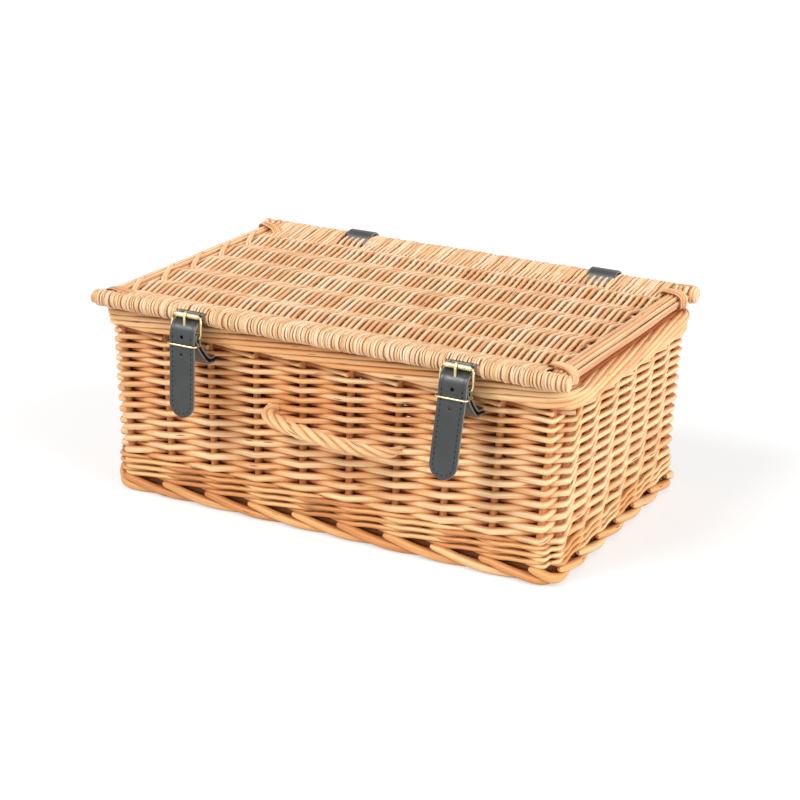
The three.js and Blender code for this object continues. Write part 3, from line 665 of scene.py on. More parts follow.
# %% Foot border
foot_course = ((-0.14, 13.6, 1.2, 2.0), (-0.06, 13.0, 1.6, 3.2), (0.1, 12.0, 1.8, 3.9),
               (0.45, 8.8, 2.2, 4.1), (0.85, 5.8, 1.8, 4.1), (1.2, 4.5, 0.4, 3.9),
               (1.6, 4.2, -3.0, 3.6), (2.1, 4.4, -6.5, 3.2))
foot_push = 6 * MM
filler_radius = 3.8 * MM


def corner_push(place, most):
    """Extra distance out on a corner flat of the right end, the most at its middle."""
    side, share = stake_places[math.floor(place) % stake_count]
    on_flat = side in ("front", "right") and share == 1
    return most * (1 - abs(2 * (place % 1) - 1)) if on_flat else 0


def filler_rod(level, out, tone):
    """A plain rod that runs right round the wall."""
    path = [wall_point(step / 2, level, out) for step in range(2 * stake_count + 1)]
    return path, [filler_radius] * len(path), tone


chance = random.Random(31)
foot_rods = []
for number in range(stake_count):
    swell = chance.uniform(0.92, 1.06)
    path = [wall_point(number + place, level * MM, out * MM + corner_push(number + place, foot_push))
            for place, level, out, radius in foot_course]
    radii = [radius * swell * MM for place, level, out, radius in foot_course]
    # The foot rods take the painted light of the right end too.
    foot_rods.append((path, radii, chance.uniform(0.0, 0.6) + painted_light(number)))
# The two filler rods have a tone below zero, which paints shade on them behind the foot rods.
foot_rods.extend(filler_rod(level * MM, -8 * MM, -0.4) for level in (4.5, 11.5))
foot = rods_piece("foot_border_rods", foot_rods, edge_willow, sides=10, bend_steps=5, upright=True)
settle(foot, "basket", "willow", "foot_border_front", "foot_border_rear", "foot_border_left",
       "foot_border_right")

# %% [markdown]
# ## Top border
# At the top each stake bends to the right, comes out above the siding, climbs over the next three
# stakes and turns in over the rim behind the two after them. Everywhere three or four rods lie above
# each other, which makes the thick band that the lid rests on. The course gives a place, a level above
# the siding and a distance outside the wall, and plain rods behind it fill the band.

# %% Top border
border_course = ((0.0, -6.0, -8.5), (0.05, 2.0, -6.5), (0.3, 4.4, -0.8), (0.75, 4.8, 2.6),
                 (1.5, 8.0, 3.0), (2.3, 12.2, 3.0), (3.1, 15.8, 2.4), (4.0, 18.0, -0.2),
                 (5.0, 18.2, -4.0), (5.6, 15.0, -7.4), (6.0, 10.0, -8.2))
border_fillers = ((-2.5, -9.5), (4.0, -9.0), (10.5, -9.0), (17.5, -8.0))
border_radius = 2.9 * MM
chance = random.Random(47)
border_rods = []
for number in range(stake_count):
    swell = chance.uniform(0.94, 1.05)
    path = [wall_point(number + place, siding_high + level * MM, out * MM)
            for place, level, out in border_course]
    radii = [border_radius * swell * (1.05 - 0.2 * share / len(path)) for share in range(len(path))]
    own_tone = chance.uniform(0.35, 1.1)
    # The border rods take the painted light of the right end too.
    tones = [own_tone + painted_light(number + place) for place, level, out in border_course]
    border_rods.append((path, radii, tones))
# The filler rods have a tone below zero, which paints shade on them behind the border.
border_rods.extend(filler_rod(siding_high + level * MM, out * MM, -0.2) for level, out in border_fillers)
border = rods_piece("top_border_rods", border_rods, rim_willow, sides=10, bend_steps=5, upright=True)
settle(border, "basket", "willow", "top_border_front", "top_border_rear", "top_border_left",
       "top_border_right")

# %% [markdown]
# ## Base
# The base is plain weave: thick sticks from end to end, and rods across them that go over one stick
# and under the next. Neighbouring rods do the opposite, which is one alternating sign in the code.

# %% Sticks
def stick_middles(kind):
    """Names of the sticks of the base or lid, and their middles from front to rear."""
    names = [name for name in frame["nodes"] if name.startswith(kind)]
    boxes = [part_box(name) for name in names]
    return names, sorted(((low + high) / 2 for low, high in boxes), key=lambda middle: middle.y)


def straight_path(low, high, shares):
    """Points along the middle of a box, from its left end to its right end."""
    middle = (low + high) / 2
    return [Vector((low.x + (high.x - low.x) * share, middle.y, middle.z)) for share in shares]


def stick_rods(names, tones):
    """The sticks themselves, as straight rods."""
    rods = []
    for name in names:
        low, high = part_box(name)
        radius = (high.z - low.z) / 2 * 0.96
        rods.append((straight_path(low, high, (0, 0.33, 0.66, 1)), [radius] * 4, tones.uniform(0.3, 0.7)))
    return rods


base_names, base_sticks = stick_middles("base_stick")
lid_names, lid_sticks = stick_middles("lid_stick")
print("sticks in the base", len(base_sticks), "and in the lid", len(lid_sticks))

# %% Base
base_low, base_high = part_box("base_panel")
base_pitch = 5.4 * MM
base_radius = 2.6 * MM
base_wave = 3.7 * MM
base_tuck = 3.0 * MM
chance = random.Random(61)
base_rods = []
base_count = int((base_high.x - base_low.x) / base_pitch)
middle = (base_low.z + base_high.z) / 2
for index in range(base_count):
    x = (index - (base_count - 1) / 2) * base_pitch
    way = 1 if index % 2 == 0 else -1
    cut_back = max(abs(x) - (base_high.x - corner_cut + 10 * MM), 0)
    end_level = middle + way * base_wave * 0.6
    path = [Vector((x, base_low.y + cut_back - base_tuck, end_level))]
    for order, stick in enumerate(base_sticks):
        level = middle + way * base_wave * (-1) ** order
        path.append(Vector((x + chance.uniform(-0.2, 0.2) * MM, stick.y, level)))
    path.append(Vector((x, base_high.y - cut_back + base_tuck, end_level)))
    base_rods.append((path, [base_radius] * len(path), chance.random()))
base_rods.extend(stick_rods(base_names, chance))
base = rods_piece("base_weave", base_rods, lid_willow, sides=8, bend_steps=6, upright=True)
settle(base, "basket", "willow", "base_panel", *base_names)

# %% [markdown]
# ## Lid
# The lid is woven like the base but much finer: about 140 thin rods run from front to rear over five
# sticks. Each ends over or under the rails, where the wrapping covers it, and where it meets a leather
# loop it stops short so that the leather can pass. The sticks are never quite straight, so the rods
# cross them a little to the front or the rear of the line.

# %% Ways to the rails
lid_low, lid_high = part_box("lid_panel")
rail_middle = {face: sum(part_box(f"lid_rail_{face}"), Vector()) / 2 for face in ("front", "rear")}
rail_radius = (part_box("lid_rail_front")[1].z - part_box("lid_rail_front")[0].z) / 2
rail_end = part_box("lid_rail_front")[1].x
inwards = {"front": 1, "rear": -1}
leather_places = {"front": ["lid_strap_left", "lid_strap_right"],
                  "rear": ["hinge_loop_left", "hinge_loop_right"]}


def under_leather(face, x):
    """True where a strap or hinge loop goes through the lid at that rail."""
    margin = 1.2 * MM
    boxes = [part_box(name) for name in leather_places[face]]
    return any(low.x - margin < x < high.x + margin for low, high in boxes)


def beside_rail(face, x, course):
    """Points at a place along a rail, each so many millimetres inwards of its middle and above it."""
    middle = rail_middle[face]
    return [Vector((x, middle.y + inwards[face] * away * MM, middle.z + rise * MM)) for away, rise in course]


def rail_approach(face, x, over):
    """The last points of a lid rod, from its last stick to the rail, over or under it."""
    if not under_leather(face, x):
        course = ((16, 4.6), (8, 6.2), (0, 6.2)) if over else ((16, -4.6), (8, -6.2), (0, -6.2))
    elif face == "rear":
        course = ((24, 4.2), (13.4, 6.7)) if over else ((26, 0.0), (19.5, 1.0))
    else:
        course = ((19, 3.0), (15, 1.5)) if over else ((19, -3.6), (15, -4.5))
    return beside_rail(face, x, course)


print("rails", round(2 * rail_end / MM), "mm long")

# %% Lid rods
lid_pitch = 3.05 * MM
lid_radius = 1.95 * MM
lid_tip = 1.0 * MM
lid_wave = 4.4 * MM
lid_crook = 1.8 * MM
chance = random.Random(73)
lid_count = int((lid_high.x - lid_low.x) / lid_pitch)
lid_places = [(index - (lid_count - 1) / 2) * lid_pitch for index in range(lid_count)]
lid_rods = []
for index, x in enumerate(lid_places):
    over_front = index % 2 == 0
    way = -1 if over_front else 1
    path = list(reversed(rail_approach("front", x, over_front)))
    crossings = []
    for order, stick in enumerate(lid_sticks):
        level = stick.z + way * lid_wave * (-1) ** order
        crook = lid_crook * math.sin(x * 19 + 2.3 * order) + chance.uniform(-0.8, 0.8) * MM
        crossings.append(Vector((x + chance.uniform(-0.5, 0.5) * MM, stick.y + crook, level)))
    for here, there in zip(crossings, crossings[1:]):
        path.extend((here, here.lerp(there, 0.2), here.lerp(there, 0.8)))
    path.append(crossings[-1])
    path.extend(rail_approach("rear", x, over_front == (len(lid_sticks) % 2 == 1)))
    swell = chance.uniform(0.92, 1.06)
    own_tone = chance.uniform(0.1, 1.0)
    # Where a rod dips below the sticks' middle its tone falls, which paints shade on it where it passes
    # under.
    tones = [own_tone + min(point.z - lid_sticks[0].z, 0) / lid_wave * 0.5 for point in path]
    radii = [lid_radius * swell] * len(path)
    if under_leather("rear", x):
        radii[-1] = lid_tip
    lid_rods.append((path, radii, tones))
lid_rods.extend(stick_rods(lid_names, chance))
lid = rods_piece("lid_weave", lid_rods, lid_willow, sides=8, bend_steps=2, upright=True)
settle(lid, "lid", "willow", "lid_panel", *lid_names)

# %% [markdown]
# ## Rails and their wrapping
# Each rail is a thick rod whose cut ends show at the corners. The weaver shaves the ends of the lid
# rods to flat strands and wraps them over the rail, side by side and a little askew. Here the strands
# are rods of their own with a flat section, and every one has its own width and slant, because a row
# of equal ribs looks like a machine part. Past the ends of the panel a strand goes nearly right round.

# %% Rails
rail_core = 5.9 * MM
rail_rods = []
for face in ("front", "rear"):
    middle = rail_middle[face]
    path = [Vector(((step / 8 - 1) * rail_end, middle.y, middle.z)) for step in range(17)]
    rail_rods.append((path, [rail_core] * len(path), 0.6))
rails = rods_piece("lid_rails", rail_rods, lid_willow, sides=14, bend_steps=3)
settle(rails, "lid", "willow", "lid_rail_front", "lid_rail_rear")

# %% Rail wrapping
strand_pitch = {"front": 2.5 * MM, "rear": 4.2 * MM}
strand_half = {"front": 1.3 * MM, "rear": 1.85 * MM}
strand_start = {"front": ((17, 4.8), (9, 6.6)), "rear": ((40, 1.5), (17, 4.8), (9, 6.6))}
strand_flatness = 0.7
loop_outer = rail_core + 1.7 * MM
wrap_turns = (100, 70, 40, 10, -20, -50, -80, -110)
free_turns = wrap_turns + (-140, -170, -200, -230, -252)
chance = random.Random(83)
strand_rods = []
for face in ("front", "rear"):
    middle = rail_middle[face]
    strand_count = int(2 * (rail_end - 2 * MM) / strand_pitch[face])
    for index in range(strand_count):
        x = (index - (strand_count - 1) / 2) * strand_pitch[face] + chance.uniform(-0.5, 0.5) * MM
        slant = min(chance.uniform(-0.5, 4.0) * MM, rail_end - x - 2 * MM)
        half = strand_half[face] * chance.uniform(0.8, 1.12)
        wrap = rail_core + (strand_flatness * half) * chance.uniform(0.7, 1.15)
        tone = chance.uniform(0.1, 1.0)
        tied_down = under_leather(face, x)
        if tied_down and face == "rear":
            continue
        on_panel = abs(x) < lid_high.x
        path = beside_rail(face, x, strand_start[face] if on_panel else ())
        turns = wrap_turns if on_panel else free_turns
        if tied_down:
            wrap = loop_outer + strand_flatness * half
            turns = wrap_turns[:3]
        for turn in turns:
            angle = math.radians(turn)
            skew = slant * (100 - turn) / 210
            path.append(Vector((x + skew, middle.y - inwards[face] * wrap * math.cos(angle),
                                middle.z + wrap * math.sin(angle))))
        strand_rods.append((path, [half] * len(path), tone))
strands = rods_piece("rail_wrapping", strand_rods, lid_willow, sides=8, bend_steps=3,
                     flatness=strand_flatness)
settle(strands, "lid", "willow")

# %% [markdown]
# ## Side frames and corner bindings
# The lid's ends are bundles of smooth rods between the rails, and on the left two rods leave the
# bundle on the slant at every stick and go down into the weave. At each corner a skein of five thin
# strands ties the bundle down: it comes out of the weave, crosses the bundle on the slant, turns down
# over its outer side and goes back underneath. The weaver tied every corner a little differently, so
# only the two ends of the crossing are given for each, and one course of heights serves all four.

# %% Side frames
bundle = ((-6.8, 1.4, 2.0), (-3.0, 3.6, 2.1), (0.8, 4.2, 2.1), (4.6, 3.0, 2.0), (7.2, -0.4, 1.9),
          (6.0, -3.8, 2.0), (2.2, -4.8, 2.2), (-2.4, -4.6, 2.2), (-6.2, -2.8, 2.0), (0.0, -0.4, 3.0))
slanting_course = ((0.1, 20, -1.0), (0.3, 14, 4.6), (0.9, -8, 4.8), (1.2, -20, 3.0), (1.45, -27, 0.0))
slanting_radius = 1.6 * MM
most_bow = 2.2 * MM
chance = random.Random(97)
side_rods = []
for end, sign in (("left", -1), ("right", 1)):
    low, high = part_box(f"lid_side_{end}")
    middle = (low + high) / 2
    for across, rise, radius in bundle:
        path = []
        for share in (-1.0, -0.6, -0.2, 0.2, 0.6, 1.0):
            bow = most_bow * (1 - share * share) * chance.uniform(-1, 1)
            x = middle.x + sign * across * MM + bow
            path.append(Vector((x, share * (high.y - 1 * MM), middle.z + rise * MM + bow * 0.6)))
        side_rods.append((path, [radius * MM] * len(path), chance.uniform(0.0, 0.9)))
low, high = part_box("lid_side_left")
for stick in lid_sticks:
    for step in (0, 1):
        path = []
        for share, along, rise in slanting_course:
            x = low.x + (high.x - low.x) * share
            path.append(Vector((x, stick.y + (along - 5 * step) * MM, stick.z + rise * MM)))
        side_rods.append((path, [slanting_radius] * len(path), chance.uniform(0.1, 0.8)))
side_frames = rods_piece("lid_side_rods", side_rods, frame_willow, sides=10, bend_steps=4, upright=True)
settle(side_frames, "lid", "willow", "lid_side_left", "lid_side_right")

# %% Corner bindings
binding_ends = {("front", "left"): ((-29, 3), (8, 14)), ("front", "right"): ((-14, 24), (11, 16)),
                ("rear", "left"): ((-19, 28), (10, 9)), ("rear", "right"): ((-12, 22), (11, 28))}
binding_course = ((-0.04, -4.0), (0.0, 3.4), (0.14, 7.6), (0.45, 8.2), (0.8, 7.6), (0.98, 4.6), (1.02, 0.0),
                  (0.96, -5.0), (0.7, -7.4), (0.4, -7.6))
skein_radius = 1.05 * MM
skein_step = 2.05 * MM
chance = random.Random(101)
binding_rods = []
for (face, end), places in binding_ends.items():
    sign = -1 if end == "left" else 1
    corner_x = sum(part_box(f"lid_side_{end}"), Vector()).x / 2
    start, stop = [beside_rail(face, corner_x + sign * out * MM, [(away, 0)])[0] for out, away in places]
    across = Vector((0, 0, 1)).cross(stop - start).normalized()
    for strand in (-2, -1, 0, 1, 2):
        path = []
        for share, rise in binding_course:
            spread = skein_step * strand * (1.15 - 0.3 * abs(share - 0.5)) + chance.uniform(-0.2, 0.2) * MM
            lift = rise * MM - 0.25 * MM * abs(strand)
            path.append(start.lerp(stop, share) + across * spread + Vector((0, 0, lift)))
        binding_rods.append((path, [skein_radius] * len(path), chance.uniform(-0.15, 0.8)))
bindings = rods_piece("corner_bindings", binding_rods, frame_willow, sides=8, bend_steps=4, flatness=0.7)
settle(bindings, "lid", "willow", "corner_binding_front_left", "corner_binding_front_right",
       "corner_binding_rear_left", "corner_binding_rear_right")

# %% [markdown]
# ## Leather
# The straps are charcoal bridle leather: a fine pebbled grain, a soft sheen, cut edges that are
# rubbed paler, and a pressed line where the stitches run. The grain is the same on every leather
# piece, so it is one shader group. Edges and the stitched line read an attribute that says how far
# across the band a point lies.

# %% Leather grain group
leather_grain, given, result = new_group(
    "ShaderNodeTree", "leather_grain",
    [("Face", "Color", linear(55, 58, 58)), ("Worn", "Color", linear(70, 74, 74)),
     ("Edge", "Color", linear(38, 38, 39)), ("Rim", "Color", linear(126, 124, 116)),
     ("Seam", "Float", 0.72)],
    grain_results)
tree = leather_grain
place = object_place()
pebble = add("ShaderNodeTexVoronoi", {"Vector": place, "Scale": 1400.0}, feature="SMOOTH_F1")
cloud = noise(place, 60.0, 5.0)
crease = noise(place, 420.0, 3.0)
across = put(tree, "ShaderNodeAttribute", attribute_name="band_across").outputs["Fac"]
outer = calc("ABSOLUTE", across)
face = mix(span(cloud, 0.4, 0.7, 0.0, 0.55), given["Face"], given["Worn"])
face = mix(span(pebble, 0.1, 0.6, 0.0, 0.25), face, given["Edge"])
face = mix(span(outer, 0.93, 0.99, 0.0, 0.8), face, given["Rim"])
groove = span(calc("ABSOLUTE", calc("SUBTRACT", outer, given["Seam"])), 0.06, 0.015)
face = mix(calc("MULTIPLY", groove, 0.6), face, given["Edge"])
lift = calc("MULTIPLY_ADD", crease, 0.15, calc("MULTIPLY", pebble, 0.12))
deliver(Color=face, Roughness=span(crease, 0.3, 0.7, 0.28, 0.42), Height=calc("SUBTRACT", lift, groove))


# %% Leather materials
def leather_finish(name, **values):
    """A leather material with its own colours and seam."""
    return grained_finish(name, leather_grain, 0.5, 0.3 * MM, 0.5, **values)


no_seam = 1.5
strap_leather = leather_finish("strap_leather")
loop_leather = leather_finish("loop_leather", Face=linear(52, 52, 54), Worn=linear(78, 78, 80), Seam=no_seam)

# %% [markdown]
# ## Leather bands
# A strap is a flat section with rounded edges that follows a route in the plane of its swing. A
# box could be bent with a modifier, but the route matters more than the box: it has to go round the
# rail, under the roller and over the heel bar. So the band is built ring by ring along the route, and
# narrows to a round tip where one is wanted.

# %% Routes
def smooth_route(points, steps=8):
    """A Catmull-Rom curve through (y, z) points, as many small steps."""
    ends = [2 * points[0] - points[1], *points, 2 * points[-1] - points[-2]]
    route = []
    for before, start, stop, after in zip(ends, ends[1:], ends[2:], ends[3:]):
        for step in range(steps):
            t = step / steps
            second = 2 * before - 5 * start + 4 * stop - after
            third = 3 * start - before - 3 * stop + after
            route.append(start + ((stop - before) * t + (second * t + third * t * t) * t) / 2)
    return [*route, points[-1]]


def run_lengths(route):
    """The distance along a route from its first point to each of its points."""
    lengths = [0.0]
    for here, there in zip(route, route[1:]):
        lengths.append(lengths[-1] + (there - here).length)
    return lengths


def route_spot(route, lengths, wanted):
    """The stretch of a route that holds a distance along it, and the point there."""
    stretch = min(bisect.bisect_right(lengths, wanted) - 1, len(route) - 2)
    share = (wanted - lengths[stretch]) / (lengths[stretch + 1] - lengths[stretch])
    return stretch, route[stretch].lerp(route[stretch + 1], share)


def even_route(route, pitch):
    """The same route with points at an even distance."""
    lengths = run_lengths(route)
    count = max(round(lengths[-1] / pitch), 2)
    return [route_spot(route, lengths, lengths[-1] * step / count)[1] for step in range(count + 1)]


def route_out(route, index, closed=False):
    """The direction square to the route at a point, to the left of its way."""
    last = len(route)
    before = route[(index - 1) % last] if closed else route[max(index - 1, 0)]
    after = route[(index + 1) % last] if closed else route[min(index + 1, last - 1)]
    way = (after - before).normalized()
    return Vector((-way.y, way.x))


# %% Band section
face_shares = (1.0, 0.93, 0.8, 0.72, 0.64, 0.3, 0.0, -0.3, -0.64, -0.72, -0.8, -0.93, -1.0)
edge_turns = (45, 0, -45)
least_half = 0.05 * MM


def band_ring(half, thick):
    """Section of a band as (across, through) points: a flat face, a round edge, and so on round."""
    inner = max(half - thick, least_half)
    top = [(share * inner, thick) for share in face_shares]
    left = [(-inner - thick * math.cos(math.radians(turn)), thick * math.sin(math.radians(turn)))
            for turn in edge_turns]
    return top + left + [(-across, -through) for across, through in top + left]


print("points in a band's section", len(band_ring(MM, MM)))

# %% Band builder
tip_share = 0.12


def shell_object(name, shell):
    """An object made from a finished bmesh."""
    mesh = bpy.data.meshes.new(name)
    shell.to_mesh(mesh)
    shell.free()
    return show(name, mesh)


def leather_band(name, route, x, width, thickness, finish, closed=False, round_tip=False):
    """A band of leather along a route of (y, z) points at a place along x."""
    half = width / 2
    left = run_lengths(route[::-1])[::-1]
    shell = bmesh.new()
    across_layer = shell.verts.layers.float.new("band_across")
    rings = []
    for index, point in enumerate(route):
        wide = half
        if round_tip and left[index] < half:
            wide = math.sqrt(max(half * half - (half - left[index]) ** 2, (tip_share * half) ** 2))
        out = route_out(route, index, closed)
        ring = []
        for across, through in band_ring(wide, thickness / 2):
            spot = point + out * through
            vertex = shell.verts.new((x + across, spot.x, spot.y))
            edge = abs(across) + (half - wide)
            vertex[across_layer] = math.copysign(min(edge / half, 1.0), across)
            ring.append(vertex)
        rings.append(ring)
    size = len(rings[0])
    for here, there in zip(rings, rings[1:] + rings[:1] if closed else rings[1:]):
        for step in range(size):
            after = (step + 1) % size
            shell.faces.new((here[step], here[after], there[after], there[step]))
    if not closed:
        shell.faces.new(list(reversed(rings[0])))
        shell.faces.new(rings[-1])
    bmesh.ops.recalc_face_normals(shell, faces=shell.faces)
    made = shell_object(name, shell)
    made.data.shade_smooth()
    made.data.materials.append(finish)
    print(name, len(made.data.polygons), "faces")
    return made


# %% [markdown]
# ## Lid straps
# Each strap loops round the front rail, passes under the buckle's roller, goes over the heel bar and
# hangs down to a round tip, a little out from the wall. The right one leans out further than the left.
# The holes are cut with round pins, because the prong has to be seen going through a real one.

# %% Closure places
closures = {"left": {"lean": math.radians(3)}, "right": {"lean": math.radians(13)}}
front_rail = Vector((rail_middle["front"].y, rail_middle["front"].z))
strap_over_heel = 5.15 * MM
for end, closure in closures.items():
    low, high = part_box(f"lid_strap_{end}")
    heel = joint_place[f"buckle_{end}_swing"]
    roller = joint_place[f"roller_{end}_spin"]
    closure["x"] = heel.x
    closure["heel"] = Vector((heel.y, heel.z))
    closure["roller"] = Vector((roller.y, roller.z))
    closure["width"] = high.x - low.x
    closure["tip"] = low.z
    closure["over_heel"] = front_rail.x - heel.y + strap_over_heel
    print(end, "closure at", round(closure["x"] / MM, 1), "mm")

# %% Strap routes
strap_thick = 2.0 * MM
loop_thick = 1.3 * MM
strap_ring = loop_outer - loop_thick / 2


def in_front(out, level):
    """A (y, z) point that far in front of the front rail's middle."""
    return Vector((front_rail.x - out, level))


def on_loop(angle):
    """A (y, z) point of the loop round the front rail."""
    return in_front(strap_ring * math.cos(angle), front_rail.y + strap_ring * math.sin(angle))


def strap_out(closure, level):
    """How far the hanging strap's middle stands in front of the rail at a level."""
    drop = max(closure["heel"].y - level, 0)
    return closure["over_heel"] + 0.3 * MM + drop * math.tan(closure["lean"])


def strap_tail(closure):
    """From the front of the rail under the roller, over the heel bar and down to the tip."""
    heel = closure["heel"].y
    over_heel = closure["over_heel"]
    roller_out = front_rail.x - closure["roller"].x
    under = closure["roller"].y - 3.9 * MM
    bend = smooth_route([
        on_loop(0.3),
        in_front(strap_ring + 2.2 * MM, front_rail.y + 1.2 * MM),
        in_front(roller_out - 0.3 * MM, under - 1.6 * MM),
        in_front(roller_out + 3.6 * MM, under - 4.0 * MM),
        in_front(over_heel - 0.5 * MM, heel + 6.6 * MM),
        in_front(over_heel + 1.0 * MM, heel + 1.2 * MM),
        in_front(over_heel + 1.2 * MM, heel - 4.5 * MM),
        in_front(strap_out(closure, heel - 20 * MM), heel - 20 * MM),
    ])
    return [*bend, in_front(strap_out(closure, closure["tip"]), closure["tip"])]


# %% Holes
def pin(radius, x, y, z, depth):
    """A round cutter that points from front to rear."""
    shell = bmesh.new()
    turn = Matrix.Translation((x, y, z)) @ Matrix.Rotation(math.pi / 2, 4, "X")
    bmesh.ops.create_cone(shell, cap_ends=True, segments=16, radius1=radius, radius2=radius,
                          depth=depth, matrix=turn)
    return shell_object("pin", shell)


def punch(piece, cutters):
    """Cuts holes through a piece with other objects, and removes those."""
    for cutter in cutters:
        hole = piece.modifiers.new("hole", "BOOLEAN")
        hole.operation = "DIFFERENCE"
        hole.solver = "EXACT"
        hole.object = cutter
    shaped = piece.evaluated_get(bpy.context.evaluated_depsgraph_get())
    mesh = bpy.data.meshes.new_from_object(shaped)
    piece.modifiers.clear()
    piece.data = mesh
    for cutter in cutters:
        bpy.data.objects.remove(cutter)
    print(piece.name, "with", len(cutters), "holes")


# %% Lid straps
band_step = 2.0 * MM
hole_radius = 1.7 * MM
hole_pitch = 15.4 * MM
for end, closure in closures.items():
    loop = [on_loop(math.radians(turn)) for turn in range(-40, 335, 15)]
    loop_band = leather_band(f"strap_loop_{end}", loop, closure["x"], closure["width"], loop_thick,
                             strap_leather)
    tail = even_route(strap_tail(closure), band_step)
    closure["tail"] = tail
    tip_steps = [tail[-1].lerp(tail[-2], share) for share in (0.6, 0.35, 0.15, 0.05)]
    band = leather_band(f"lid_strap_band_{end}", [*tail[:-1], *tip_steps, tail[-1]], closure["x"],
                        closure["width"], strap_thick, strap_leather, round_tip=True)
    pins = []
    for step in range(2):
        level = closure["heel"].y + 1.1 * MM - step * hole_pitch
        pins.append(pin(hole_radius, closure["x"], front_rail.x - strap_out(closure, level), level, 12 * MM))
    punch(band, pins)
    settle(loop_band, f"strap_{end}", "leather")
    settle(band, f"strap_{end}", "leather", f"lid_strap_{end}")

# %% [markdown]
# ## Stitches
# Saddle stitches run along both edges of each strap and round its tip. Each stitch is the same small
# bead of thread, so one tree walks along the seam, turns a bead to the seam's direction at every
# step and puts the thread's material on it. The beads lie deep, and only their backs show.

# %% Thread
thread, tree, shader = new_material("waxed_thread")
twist = put(tree, "ShaderNodeTexWave", {"Vector": object_place(), "Scale": 900.0, "Distortion": 2.0})
twist = twist.outputs["Fac"]
tree.links.new(mix(twist, linear(14, 14, 16), linear(28, 28, 30)), shader["Base Color"])
tree.links.new(span(twist, 0, 1, 0.75, 0.9), shader["Roughness"])
shader["Specular IOR Level"].default_value = 0.2
print("finish", thread.name)

# %% Stitch tree
stitch_row, given, result = new_group(
    "GeometryNodeTree", "stitch_row",
    [("Seam", "Geometry", None), ("Pitch", "Float", 4.2 * MM), ("Length", "Float", 3.0 * MM),
     ("Width", "Float", 0.9 * MM), ("Finish", "Material", None)],
    shape_result)
tree = stitch_row
line = add("GeometryNodeMeshToCurve", {"Mesh": given["Seam"]})
line = add("GeometryNodeResampleCurve", {"Curve": line, "Length": given["Pitch"]}, mode="LENGTH")
bead = add("GeometryNodeMeshUVSphere", {"Segments": 6, "Rings": 4, "Radius": 0.5})
size = add("ShaderNodeCombineXYZ", {"X": given["Width"], "Y": given["Width"], "Z": given["Length"]})
turn = add("FunctionNodeAlignRotationToVector", {"Vector": add("GeometryNodeInputTangent")}, axis="Z")
beads = add("GeometryNodeInstanceOnPoints",
            {"Points": line, "Instance": bead, "Rotation": turn, "Scale": size})
beads = add("GeometryNodeRealizeInstances", {"Geometry": beads})
dress(add("GeometryNodeSetShadeSmooth", {"Geometry": beads}))

# %% Strap stitches
seam_inset = 3.6 * MM
seam_start = 24 * MM
seam_sink = 0.92 * MM


def seam_points(closure):
    """A seam beside the strap's edge: down one side, round the tip and up the other."""
    half = closure["width"] / 2
    run = half - seam_inset
    tail = closure["tail"]
    lengths = run_lengths(tail)
    bend = lengths[-1] - half
    side = [(seam_start + (bend - seam_start) * step / 30, run) for step in range(30)]
    turns = [math.pi * step / 24 for step in range(25)]
    tip = [(bend + run * math.sin(angle), run * math.cos(angle)) for angle in turns]
    points = []
    for along, across in [*side, *tip, *[(along, -across) for along, across in reversed(side)]]:
        stretch, spot = route_spot(tail, lengths, along)
        spot = spot - route_out(tail, stretch) * (strap_thick / 2 - seam_sink)
        points.append(Vector((closure["x"] + across, spot.x, spot.y)))
    return points


for end, closure in closures.items():
    seam = seam_points(closure)
    guide = guide_lines(f"strap_stitches_{end}", [(seam, [MM] * len(seam), 0.5)])
    stitches = grow(f"strap_stitches_{end}", guide, stitch_row, Pitch=4.4 * MM, Length=4.2 * MM,
                    Width=2.4 * MM, Finish=thread)
    settle(stitches, f"strap_{end}", "leather")

# %% [markdown]
# ## Buckle straps and hinge loops
# Two more leather pieces are bands on closed routes. A buckle strap goes round the buckle's heel bar
# and back through the wall to a peg inside. A hinge loop is a taut ring round the rear border and the
# rear rail, and a taut ring is the convex hull of what it goes round.

# %% Buckle straps
ply_thick = 2.2 * MM
ply_out = 2.3 * MM
heel_ring = 2.76 * MM
peg_ring = 4.5 * MM


def half_turn(middle, start, radius):
    """A half circle of points round a middle, from a starting direction clockwise."""
    way = Vector((start.y, -start.x))
    angles = [math.pi * step / 8 for step in range(9)]
    return [middle + start * radius * math.cos(angle) + way * radius * math.sin(angle) for angle in angles]


for end, closure in closures.items():
    peg_low, peg_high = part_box(f"anchor_peg_{end}")
    peg = Vector(((peg_low.y + peg_high.y) / 2, (peg_low.z + peg_high.z) / 2))
    face = -wall_half(peg.y)[1]
    heel = closure["heel"]
    rise = smooth_route([heel, heel + Vector((3, -9)) * MM, Vector((face - 10 * MM, peg.y + 2.5 * MM)),
                         Vector((face - 3.3 * MM, peg.y)), peg])
    rise = even_route(rise, band_step)
    outs = [route_out(rise, index) for index in range(len(rise))]
    outward = [point + out * ply_out for point, out in zip(rise, outs)]
    inward = [point - out * ply_out for point, out in zip(rise, outs)]
    route = [*half_turn(heel, -outs[0], heel_ring), *outward[2:-3],
             *half_turn(peg, outs[-1], peg_ring), *list(reversed(inward))[3:-2]]
    low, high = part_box(f"buckle_strap_{end}")
    band = leather_band(f"buckle_strap_band_{end}", route, closure["x"], high.x - low.x, ply_thick,
                        loop_leather, closed=True)
    settle(band, "basket", "leather", f"buckle_strap_{end}")


# %% Hinge loops
def hull(points):
    """The convex outline round points, counter-clockwise."""
    ordered = sorted(points, key=lambda point: (point.x, point.y))
    outline = []
    for run in (ordered, list(reversed(ordered))):
        part = []
        for point in run:
            while len(part) > 1 and (part[-1] - part[-2]).cross(point - part[-1]) <= 0:
                part.pop()
            part.append(point)
        outline.extend(part[:-1])
    return outline


